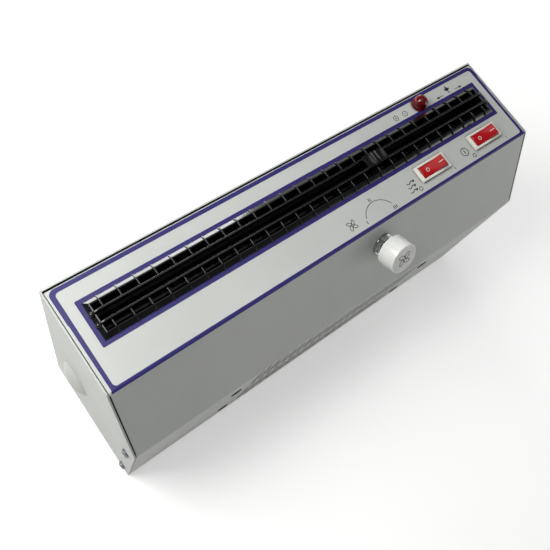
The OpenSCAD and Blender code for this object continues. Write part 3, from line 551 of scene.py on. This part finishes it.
def on_rocker(pivot, raised):
    """Places plan points on a rocker's pressed half, or on its raised half, from the ridge."""
    lean = 2 * ROCKER_TILT if raised else 0.0
    ridge = pivot + Vector((-ROCKER_RIDGE * math.sin(ROCKER_TILT), 0,
                            ROCKER_RIDGE * math.cos(ROCKER_TILT)))
    along = Vector((math.cos(lean), 0, math.sin(lean)))
    out = Vector((-math.sin(lean), 0, math.cos(lean)))
    return lambda p, h: ridge + along * p[0] * MM + Vector((0, p[1] * MM, 0)) + out * h


def print_strip(shape, place, pairs, closed=False):
    """One printed line or band, as a thin film between two edges."""
    rows = [[shape.verts.new(place(p, h)) for p, h in ((a, FILM), (b, FILM), (b, 0), (a, 0))]
            for a, b in pairs]
    count = len(rows) if closed else len(rows) - 1
    for i in range(count):
        here, there = rows[i], rows[(i + 1) % len(rows)]
        for k in range(4):
            shape.faces.new((here[k], there[k], there[(k + 1) % 4], here[(k + 1) % 4]))
    if not closed:
        shape.faces.new(rows[0])
        shape.faces.new(rows[-1][::-1])


def print_line(shape, place, points, width, closed=False):
    """A printed line of even width along a path."""
    pts = [Vector(p) for p in points]
    n = len(pts)
    pairs = []
    for i, p in enumerate(pts):
        back = pts[i - 1] if closed or i else p
        on = pts[(i + 1) % n] if closed or i < n - 1 else p
        a = (p - back).normalized() if back != p else (on - p).normalized()
        b = (on - p).normalized() if on != p else a
        side = Vector((-(a + b).y, (a + b).x)).normalized()
        reach = width / 2 / max(0.5, side.dot(Vector((-a.y, a.x))))
        pairs.append((p + side * reach, p - side * reach))
    print_strip(shape, place, pairs, closed)


def print_shape(shape, place, outline):
    """A filled printed shape."""
    top = [shape.verts.new(place(p, FILM)) for p in outline]
    low = [shape.verts.new(place(p, 0)) for p in outline]
    shape.faces.new(top)
    shape.faces.new(low[::-1])
    for i in range(len(top)):
        j = (i + 1) % len(top)
        shape.faces.new((top[i], low[i], low[j], top[j]))


def arc(x, y, r, start=0, end=360, steps=40):
    """Plan points round a circle, or along a part of it, with angles in degrees."""
    return [(x + r * math.cos(math.radians(start + (end - start) * k / steps)),
             y + r * math.sin(math.radians(start + (end - start) * k / steps)))
            for k in range(steps + (end - start < 360))]


def band_corner(x, y, sx, sy, r, steps=8):
    """Points round one corner of a band, from the side that faces sx to the one that faces sy."""
    return [(x - sx * r * (1 - math.cos(math.pi / 2 * k / steps)),
             y - sy * r * (1 - math.sin(math.pi / 2 * k / steps))) for k in range(steps + 1)]


def band_outline(x0, x1, y0, y1, far_r, near_r):
    """A rounded rectangle, counterclockwise from the right side's near end."""
    return (band_corner(x1, y0, 1, -1, near_r)[::-1] + band_corner(x1, y1, 1, 1, far_r)
            + band_corner(x0, y1, -1, 1, far_r)[::-1] + band_corner(x0, y0, -1, -1, near_r))


def print_band(shape, outer, inner):
    """A closed band between two rounded rectangles, cut fine enough to follow the bend."""
    pairs = list(zip(band_outline(*outer), band_outline(*inner)))
    for i in range(len(pairs)):
        (a, b), (c, d) = pairs[i], pairs[(i + 1) % len(pairs)]
        steps = 8
        grid = [[tuple(Vector(p).lerp(Vector(q), k / steps)) for k in range(steps + 1)]
                for p, q in ((a, b), (c, d))]
        for k in range(steps):
            face = [grid[0][k], grid[1][k], grid[1][k + 1], grid[0][k + 1]]
            if face[0] != face[1] or face[2] != face[3]:
                shape.faces.new([shape.verts.new(on_panel(p, FILM)) for p in face])


# Plans on the panel: left, right, near and far side, then the far and the near corners' radius.
BORDER_INSIDE = (-188.4, 190.0, -18.4, 49.3, 2.6, 2.6)
GRILLE_BAND = (-181.4, 183.9, 5.1, 38.8, 0.8, 0.8)


def panel_bands():
    """The violet border along the panel's edges and the frame round the grille."""
    near = (BEND_Y - BEND_R * SLOPE) / MM        # the ink ends with the bend
    shape = bmesh.new()
    print_band(shape, (-191.8, 193.2, near, 52.4, 4.5, 1.0),
               BORDER_INSIDE)
    g_lo, g_hi = GRILLE_LO / MM, GRILLE_HI / MM
    print_band(shape, GRILLE_BAND,
               (g_lo.x + 2, g_hi.x - 2, g_lo.y + 1, g_hi.y - 1, 0.4, 0.4))
    bmesh.ops.remove_doubles(shape, verts=shape.verts[:], dist=1e-6)
    bmesh.ops.dissolve_degenerate(shape, edges=shape.edges[:], dist=1e-6)
    bmesh.ops.recalc_face_normals(shape, faces=shape.faces[:])
    if sum(f.normal.z for f in shape.faces) < 0:
        bmesh.ops.reverse_faces(shape, faces=shape.faces[:])
    bmesh.ops.solidify(shape, geom=shape.faces[:], thickness=FILM)
    return piece("panel_bands", shape, VIOLET_INK, "cabinet")


# Middles of the control marks on the panel, in millimetres.
LINE = 0.46                                  # usual width of their lines
SPEED_ARC = (33.5, -17.6, 13.7)              # middle and radius
FAN_SIGN = (7.8, -10.9)
FAN_SIGN_TURN = 44                           # degrees that the first blade is turned
HEAT_WAVES = ((67.0, -6.4), (66.0, -9.8), (65.2, -13.4))
OFF_RINGS = ((75.4, -14.6), (136.3, -14.6))
ON_BARS = ((113.0, -15.0), (174.2, -15.3))
POWER_SIGN = (130.4, -8.2)
ION_PLUS_X, ION_MINUS_X, ION_Y = 98.4, 108.2, 42.9
BRUSH_SIGN = (157.6, 43.8)


def fan_sign(shape, place, x, y, size, width):
    """Four outlined fan blades, each a loop that leans to one side."""
    for k in range(4):
        turn = math.radians(90 * k + FAN_SIGN_TURN)
        out = Vector((math.cos(turn), math.sin(turn)))
        side = Vector((-out.y, out.x))
        blade = []
        for s in range(18):
            t = 2 * math.pi * s / 18
            along, across = 0.56 + 0.43 * math.cos(t), 0.27 * math.sin(t) + 0.14 * math.cos(t)
            blade.append(Vector((x, y)) + (out * along + side * across) * size)
        print_line(shape, place, blade, width, closed=True)


def arrow(shape, place, tail, tip, head, width):
    """A straight arrow with a filled head."""
    tail, tip = Vector(tail), Vector(tip)
    along = (tip - tail).normalized()
    side = Vector((-along.y, along.x))
    neck = tip - along * head
    print_line(shape, place, [tail, neck + along * 0.1], width)
    print_shape(shape, place, [tip, neck + side * head * 0.45, neck - side * head * 0.45])


def panel_marks():
    """Control marks: fan speed arc, fan, warm air, power, ion and cleaner signs."""
    shape = bmesh.new()

    def ring(x, y, r, w=LINE):
        print_line(shape, on_panel, arc(x, y, r), w, closed=True)

    def bar(x, y, length, w=LINE):
        print_line(shape, on_panel, [(x, y - length / 2), (x, y + length / 2)], w)

    print_line(shape, on_panel, arc(*SPEED_ARC, 157, 23, 40), LINE)
    bar(19.4, -14.8, 2.6, 0.55)
    for dx in (-0.75, 0.75):
        bar(32.2 + dx, -1.6, 2.6, 0.55)
    for dx in (-1.4, 0, 1.4):
        bar(46.9 + dx, -15.8, 2.6, 0.55)
    fan_sign(shape, on_panel, *FAN_SIGN, 4.4, 0.42)
    for x, y in HEAT_WAVES:
        wave = [(x + 6.4 * t / 12, y + 0.75 * math.sin(math.pi * (0.9 + 2.1 * t / 12)))
                for t in range(13)]
        print_line(shape, on_panel, wave, 0.62)
        tip = Vector(wave[-1]) + Vector((1.9, 0.75))
        arrow(shape, on_panel, wave[-1], tip, 2.6, 0.62)
    for x, y in OFF_RINGS:
        ring(x, y, 1.5, 0.52)
    for x, y in ON_BARS:
        bar(x, y, 2.0, 0.5)
    ring(*POWER_SIGN, 3.4, 0.56)
    bar(*POWER_SIGN, 3.6, 0.75)
    for x in (ION_PLUS_X, ION_MINUS_X):
        ring(x, ION_Y, 2.15, 0.42)
        print_line(shape, on_panel, [(x - 0.9, ION_Y), (x + 0.9, ION_Y)], 0.42)
    bar(ION_PLUS_X, ION_Y, 1.8, 0.42)
    arrow(shape, on_panel, (150.6, 40.8), (143.0, 40.8), 2.8, 0.45)
    arrow(shape, on_panel, (164.8, 40.8), (172.4, 40.8), 2.8, 0.45)
    x, y = BRUSH_SIGN                            # a brush pressed down on a point
    print_shape(shape, on_panel, [(x - 0.75, y + 3.0), (x - 0.75, y + 1.1), (x - 2.6, y + 1.1),
                                  (x - 2.6, y), (x, y - 1.6), (x + 2.6, y), (x + 2.6, y + 1.1),
                                  (x + 0.75, y + 1.1), (x + 0.75, y + 3.0)])
    for lean in (-1, 0, 1):
        print_line(shape, on_panel, [(x + lean * 0.4, y - 2.0), (x + lean, y - 3.4)], 0.36)
    return piece("panel_marks", shape, BLACK_INK, "cabinet")


def knob_mark():
    """The fan sign on the knob's face."""
    shape = bmesh.new()
    fan_sign(shape, on_knob, 0, 0, 6.6, 0.62)
    return piece("knob_mark", shape, BLACK_INK, "speed_control")


def rocker_marks(name, joint_name, body):
    """The ring and the bar on a rocker's two halves."""
    shape = bmesh.new()
    pivot = Vector(joint(joint_name)["pos_m"])
    print_line(shape, on_rocker(pivot, False), arc(-5.0, 0, 1.4), 0.38, closed=True)
    print_line(shape, on_rocker(pivot, True), [(6.2, 0), (9.9, 0)], 0.45)
    return piece(name, shape, WHITE_INK, body)


panel_bands()
panel_marks()
knob_mark()
rocker_marks("power_rocker_marks", "power_rock", "power_switch")
rocker_marks("warm_air_rocker_marks", "warm_air_rock", "warm_air_switch")


# ---------- outlet grille ----------

def at_grille(x, y, z):
    """A point given in millimetres from the middle of the grille at the panel's level."""
    return Vector((GRILLE_MID.x + x * MM, GRILLE_MID.y + y * MM, PANEL_Z + z * MM))


GRILLE_L, GRILLE_W = 359.0, 27.6             # frame, over its outer edges
FRAME_IN = 4.0                               # frame, from outer edge to opening
RAIL_Y, RAIL_T, RAIL_TOP = 3.9, 1.5, 6.0
RIB_TOP, RIB_T, RIB_PITCH, RIB_COUNT = 4.2, 1.1, 13.05, 27
FOOT_R = 2.0                                 # post and dome under each end of a rail
DEEP = -7.0                                  # underside of ribs and rails


def extruded(shape, outline, low, high):
    """A prism between two copies of an outline, given by two placing functions."""
    a = [shape.verts.new(low(p)) for p in outline]
    b = [shape.verts.new(high(p)) for p in outline]
    shape.faces.new(a)
    shape.faces.new(b[::-1])
    for i in range(len(a)):
        j = (i + 1) % len(a)
        shape.faces.new((a[i], b[i], b[j], a[j]))


def grille_frame():
    """The frame's section swept round its four sides with mitred corners."""
    section = [(0, 0.02), (0, 0.6), (3.2, 3.0), (FRAME_IN, 3.0), (FRAME_IN, -9.0), (2.6, -9.0),
               (2.6, 0.02)]
    shape = bmesh.new()
    rings = [[shape.verts.new(at_grille(sx * (GRILLE_L / 2 - d), sy * (GRILLE_W / 2 - d), z))
              for d, z in section] for sx, sy in ((1, 1), (-1, 1), (-1, -1), (1, -1))]
    for i in range(4):
        here, there = rings[i], rings[(i + 1) % 4]
        for k in range(len(section)):
            m = (k + 1) % len(section)
            shape.faces.new((here[k], here[m], there[m], there[k]))
    return shape


def grille_rails():
    """Two rails with rounded ends that come down on round feet."""
    shape = bmesh.new()
    half = GRILLE_L / 2
    ends = [(RAIL_TOP * math.sin(a), RAIL_TOP * math.cos(a))
            for a in [math.pi / 2 * k / 8 for k in range(9)]]
    right = [(half - RAIL_TOP + x, max(z, 0.1)) for x, z in ends]
    outline = right + [(half - FRAME_IN + 0.2, 0.1), (half - FRAME_IN + 0.2, DEEP)]
    outline += [(-x, z) for x, z in reversed(outline)]
    for y in (-RAIL_Y, RAIL_Y):
        extruded(shape, outline, lambda p: at_grille(p[0], y - RAIL_T / 2, p[1]),
                 lambda p: at_grille(p[0], y + RAIL_T / 2, p[1]))
    return shape


def rail_feet():
    """Round feet under the rails' ends, turned as one dome on a short post."""
    shape = bmesh.new()
    profile = [(FOOT_R, 0.02), (FOOT_R, 1.9)]
    for k in range(6):
        a = math.pi / 2 * k / 6
        profile.append((FOOT_R * math.cos(a), FOOT_R + FOOT_R * math.sin(a)))
    sides = 24
    for sx in (-1, 1):
        for sy in (-1, 1):
            cx, cy = sx * (GRILLE_L / 2 - 1.4), sy * RAIL_Y
            rings = [[shape.verts.new(at_grille(cx + r * math.cos(2 * math.pi * k / sides),
                                                cy + r * math.sin(2 * math.pi * k / sides), z))
                      for k in range(sides)] for r, z in profile]
            shape.faces.new(rings[0])
            for low, high in zip(rings, rings[1:]):
                for k in range(sides):
                    m = (k + 1) % sides
                    shape.faces.new((low[k], low[m], high[m], high[k]))
            peak = shape.verts.new(at_grille(cx, cy, 2 * FOOT_R))
            for k in range(sides):
                shape.faces.new((rings[-1][k], rings[-1][(k + 1) % sides], peak))
    return shape


def row_tree():
    """Copies a piece along X, centred, as a mould repeats a rib."""
    tree = bpy.data.node_groups.new("row_of_ribs", "GeometryNodeTree")
    face = tree.interface
    face.new_socket("Geometry", in_out="INPUT", socket_type="NodeSocketGeometry")
    keys = {}
    for name, kind in (("Count", "Int"), ("Pitch", "Float"), ("Finish", "Material")):
        keys[name] = face.new_socket(name, in_out="INPUT",
                                     socket_type=f"NodeSocket{kind}").identifier
    face.new_socket("Geometry", in_out="OUTPUT", socket_type="NodeSocketGeometry")
    given = add(tree, "NodeGroupInput").outputs
    step = add(tree, "ShaderNodeCombineXYZ", {"X": given["Pitch"]}).outputs[0]
    gaps = add(tree, "ShaderNodeMath", {0: given["Count"], 1: 1.0}, operation="SUBTRACT")
    half = add(tree, "ShaderNodeMath", {0: gaps.outputs[0], 1: -0.5}, operation="MULTIPLY")
    start = add(tree, "ShaderNodeVectorMath", {0: step, "Scale": half.outputs[0]},
                operation="SCALE")
    line = add(tree, "GeometryNodeMeshLine", {"Count": given["Count"], "Offset": step,
               "Start Location": start.outputs[0]})
    copies = add(tree, "GeometryNodeInstanceOnPoints", {"Points": line.outputs[0],
                 "Instance": given["Geometry"]})
    solid = add(tree, "GeometryNodeRealizeInstances", {"Geometry": copies.outputs[0]})
    dressed = add(tree, "GeometryNodeSetMaterial", {"Geometry": solid.outputs[0],
                  "Material": given["Finish"]})
    add(tree, "NodeGroupOutput", {"Geometry": dressed.outputs[0]})
    return tree, keys


def grille_ribs():
    """One rib of each row, repeated along the grille."""
    inner, shelf, outer = RAIL_Y, GRILLE_W / 2 - FRAME_IN + 0.4, GRILLE_W / 2 - 0.1
    outline = [(inner, DEEP), (shelf, DEEP), (shelf, 0.2), (outer, 0.2), (outer, 1.9),
               (shelf, RIB_TOP), (inner, RIB_TOP)]
    shape = bmesh.new()
    for side in (-1, 1):
        extruded(shape, outline, lambda p: at_grille(-RIB_T / 2, side * p[0], p[1]),
                 lambda p: at_grille(RIB_T / 2, side * p[0], p[1]))
    made = rounded(solid("grille_ribs", shape, BLACK_ABS), 0.25)
    tree, keys = row_tree()
    row = made.modifiers.new("row", "NODES")
    row.node_group = tree
    row[keys["Count"]] = RIB_COUNT
    row[keys["Pitch"]] = RIB_PITCH * MM
    row[keys["Finish"]] = BLACK_ABS
    return settled(made)


def outlet_grille():
    """The moulded grille, joined into one piece."""
    parts = [grille_ribs()]
    for name, shape, radius in (("frame", grille_frame(), 0.3), ("rails", grille_rails(), 0.4),
                                ("feet", rail_feet(), 0.0)):
        made = solid("grille_" + name, shape, BLACK_ABS)
        parts.append(settled(rounded(made, radius) if radius else made))
    shape = bmesh.new()
    for part in parts:
        shape.from_mesh(part.data)
        bpy.data.objects.remove(part)
    made = piece("moulded_outlet_grille", shape, BLACK_ABS, "cabinet", outward=False)
    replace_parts(smoothed(made), "outlet_grille")


outlet_grille()


# ---------- controls and fittings with rounded edges ----------

def turned(shape, place, profile, sides, start=0.0):
    """A closed turned shape, from its lowest ring to its highest, with flat ends."""
    rings = [[shape.verts.new(place((r * math.cos(start + 2 * math.pi * k / sides),
                                     r * math.sin(start + 2 * math.pi * k / sides)), h * MM))
              for k in range(sides)] for r, h in profile]
    for low, high in zip(rings, rings[1:]):
        for k in range(sides):
            m = (k + 1) % sides
            shape.faces.new((low[k], low[m], high[m], high[k]))
    shape.faces.new(rings[0][::-1])
    shape.faces.new(rings[-1])


KNOB_LENGTH = 14.2
KNOB_BASE_R, KNOB_MIDDLE_R, KNOB_FACE_R = 12.7, 12.5, 12.2
BUSH_TURNS, BUSH_PITCH = 6, 0.6              # thread that shows above the nut
LAMP_R, LAMP_FLANGE_R, LAMP_FACETS = 5.75, 6.3, 14


def speed_knob():
    """A plain round knob that narrows a little towards its flat face."""
    face = KNOB_FACE / MM
    shape = bmesh.new()
    turned(shape, on_slope, [(KNOB_BASE_R, face - KNOB_LENGTH), (KNOB_MIDDLE_R, face - 7),
                             (KNOB_FACE_R, face)], 96)
    made = settled(rounded(solid("short_speed_knob", shape, KNOB_WHITE), 0.5))
    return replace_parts(fitted(made, "speed_control"), "speed_knob")


def bush_nut():
    """The switch's threaded bush with its washer and hexagon nut, seen behind the knob."""
    shape = bmesh.new()
    turned(shape, on_slope, [(9.0, 0.02), (9.0, 0.9)], 48)
    turned(shape, on_slope, [(7.9, 0.9), (8.4, 1.3), (8.4, 3.5), (7.9, 3.9)], 6, 0.3)
    for k in range(BUSH_TURNS):
        up = BUSH_PITCH * k
        turned(shape, on_slope, [(5.2, 3.7 + up), (5.6, 4.0 + up), (5.2, 4.3 + up)], 32)
    made = settled(rounded(solid("bush_nut", shape, NICKEL), 0.15, 2))
    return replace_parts(fitted(made, "cabinet"), "switch_nut")


def lamp_lens():
    """A faceted red jewel, cut in four rows below a flat crown."""
    low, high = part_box("lamp_lens")
    middle = (low + high) / 2
    tall = (high.z - PANEL_Z) / MM
    shape = bmesh.new()

    def place(p, h):
        return Vector((middle.x + p[0] * MM, middle.y + p[1] * MM, PANEL_Z + h))

    turned(shape, place, [(LAMP_FLANGE_R, 0.02), (LAMP_FLANGE_R, 0.9), (5.8, 1.2)], 40)
    rows = [(LAMP_R, 1.0), (LAMP_R, tall * 0.45), (5.0, tall * 0.75), (3.3, tall * 0.94),
            (1.5, tall)]
    sides = LAMP_FACETS
    rings = [[shape.verts.new(place((r * math.cos(math.pi * (2 * k + i % 2) / sides),
                                     r * math.sin(math.pi * (2 * k + i % 2) / sides)), h * MM))
              for k in range(sides)] for i, (r, h) in enumerate(rows)]
    for i, (under, over) in enumerate(zip(rings, rings[1:])):
        for k in range(sides):
            m = (k + 1) % sides
            if i % 2:
                shape.faces.new((under[k], over[m], over[k]))
                shape.faces.new((under[k], under[m], over[m]))
            else:
                shape.faces.new((under[k], under[m], over[k]))
                shape.faces.new((under[m], over[m], over[k]))
    shape.faces.new(rings[0][::-1])
    shape.faces.new(rings[-1])
    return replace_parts(piece("faceted_lamp_lens", shape, LENS_RED, "cabinet"),
                       "lamp_lens")


def painted_gap_shade_strips():
    """Painted shade: thin black strips on the slope along the two end walls, in place of the shadow
    in the gaps.
    """
    shape = bmesh.new()
    wall = max(v.co.x for v in frame["nodes"]["front_cover"].data.vertices) / MM
    for side in (-1, 1):
        x = side * (wall - 0.5) - KNOB_SEAT.x / MM
        print_line(shape, on_slope, [(x, -48.0), (x, 20.0)], 1.0)
    return piece("painted_gap_shade_strips", shape, GAP_SHADE_BLACK, "cabinet")


speed_knob()
bush_nut()
lamp_lens()
painted_gap_shade_strips()

softened("cleaner_slider", "cleaner_saddle", 0.2, SADDLE_BLACK)
softened("end_screws", "pan_head_screws", 0.12, ZINC, 2)
softened("mains_inlet", "moulded_mains_inlet", 0.35, BLACK_NYLON, 2)
softened("fuse_cap", "moulded_fuse_cap", 0.3, BLACK_NYLON, 2)

TAB_TOP = PANEL_Z - 21.2 * MM                # the switches' tabs lie below this
BEZEL_TOP = PANEL_Z + 1.9 * MM
WELL_GAP = 0.5 * MM                          # the painted shade of the well reaches this far past its rocker
for side in ("power", "warm_air"):
    softened(side + "_rocker", side + "_red_rocker", 0.4, ROCKER_RED)
    switch = softened(side + "_switch_body", side + "_bezel", 0.3, BEZEL_WHITE)
    switch.data.materials.append(BRASS)          # the tabs behind the body
    switch.data.materials.append(PHENOLIC_AND_WELL_SHADE)   # painted shade in the well round the rocker
    low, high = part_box(side + "_rocker")
    # The bezel's faces in the well round the rocker take the dark phenolic as painted shade, in
    # place of the shadow in the gap.
    for face in switch.data.polygons:
        at = face.center
        if at.z < TAB_TOP:
            face.material_index = 1
        elif (at.z < BEZEL_TOP and low.x - WELL_GAP < at.x < high.x + WELL_GAP
              and low.y - WELL_GAP < at.y < high.y + WELL_GAP):
            face.material_index = 2


# ---------- floor, lamps and world ----------

def seen_directly(tree):
    """1 for rays that look at a surface or mirror it, 0 for the light it gives."""
    path = add(tree, "ShaderNodeLightPath").outputs
    first = add(tree, "ShaderNodeMath", {0: path["Is Camera Ray"], 1: path["Is Glossy Ray"]},
                operation="MAXIMUM")
    return add(tree, "ShaderNodeMath", {0: first.outputs[0], 1: path["Is Transmission Ray"]},
               operation="MAXIMUM").outputs[0]


def studio_floor():
    """A white floor that keeps the cabinet's soft shadow."""
    shape = bmesh.new()
    z = cad_box[0].z
    shape.faces.new([shape.verts.new((x, y, z)) for x, y in ((-6, -6), (6, -6), (6, 6), (-6, 6))])
    mesh = bpy.data.meshes.new("studio_floor")
    shape.to_mesh(mesh)
    shape.free()
    floor = bpy.data.objects.new("studio_floor", mesh)
    bpy.context.scene.collection.objects.link(floor)
    paper = Finish("white_paper_floor", "#efefed", 0.9, Specular_IOR_Level=0.1)
    paper.mottled(300, "#ececea", 0.95)
    tree = paper.tree
    away = add(tree, "ShaderNodeVectorMath", {0: paper.place}, operation="LENGTH")
    glow_by = add(tree, "ShaderNodeMapRange", {"Value": away.outputs["Value"], "From Min": 0.4,
                  "From Max": 1.3, "To Min": 0.41, "To Max": 1.0})
    lift = add(tree, "ShaderNodeMath", {0: seen_directly(tree), 1: glow_by.outputs[0]},
               operation="MULTIPLY")
    glow = add(tree, "ShaderNodeEmission", {"Strength": lift.outputs[0]})
    both = add(tree, "ShaderNodeAddShader", {0: paper.shader.outputs[0], 1: glow.outputs[0]})
    out = next(n for n in tree.nodes if n.type == "OUTPUT_MATERIAL")
    tree.links.new(both.outputs[0], out.inputs["Surface"])
    mesh.materials.append(paper.material)


def softbox(name, at, aim, width, depth, watts):
    """A rectangular lamp that faces a point."""
    data = bpy.data.lights.new(name, "AREA")
    data.shape = "RECTANGLE"
    data.size, data.size_y, data.energy = width, depth, watts
    lamp = bpy.data.objects.new(name, data)
    lamp.location = at
    lamp.rotation_euler = (Vector(aim) - Vector(at)).to_track_quat("-Z", "Y").to_euler()
    bpy.context.scene.collection.objects.link(lamp)


def studio_world():
    """Soft light, stronger from behind and from the left, with a white room to be seen."""
    world = bpy.data.worlds.new("studio")
    world.use_nodes = True
    bpy.context.scene.world = world
    tree = world.node_tree
    tree.nodes.clear()
    look = add(tree, "ShaderNodeTexCoord").outputs["Generated"]
    side = add(tree, "ShaderNodeVectorMath", {0: look, 1: (-0.68, 0.6, 0.42)},
               operation="DOT_PRODUCT").outputs["Value"]
    fall = add(tree, "ShaderNodeMapRange", {"Value": side, "From Min": -0.6, "From Max": 0.9,
               "To Min": 0.05, "To Max": 0.38})
    up = add(tree, "ShaderNodeSeparateXYZ", {0: look}).outputs["Z"]
    shade = add(tree, "ShaderNodeMapRange", {"Value": up, "From Min": 0.12, "From Max": 0.4,
                "To Min": 1.0, "To Max": 0.14})
    even = add(tree, "ShaderNodeBackground", {"Color": linear("#f7f8fa"),
               "Strength": fall.outputs[0]})
    seen = add(tree, "ShaderNodeBackground", {"Color": (1, 1, 1, 1),
               "Strength": shade.outputs[0]})
    both = add(tree, "ShaderNodeMixShader", {0: seen_directly(tree), 1: even.outputs[0],
               2: seen.outputs[0]})
    add(tree, "ShaderNodeOutputWorld", {"Surface": both.outputs[0]})


studio_floor()
softbox("key_softbox", (-0.38, 0.22, 0.63), (-0.05, 0, 0.19), 0.36, 0.36, 3.8)
softbox("overhead_softbox", (0.1, 0.32, 1.3), (-0.05, 0.02, 0.1), 0.9, 0.6, 1.6)
softbox("rear_softbox", (0.08, 1.1, 0.24), (-0.05, 0.02, 0.19), 0.6, 0.4, 8)
softbox("front_fill", (0.9, -0.9, 0.35), (0.1, 0, 0.1), 0.7, 0.5, 2.6)
studio_world()
bpy.context.scene.view_settings.view_transform = "Standard"
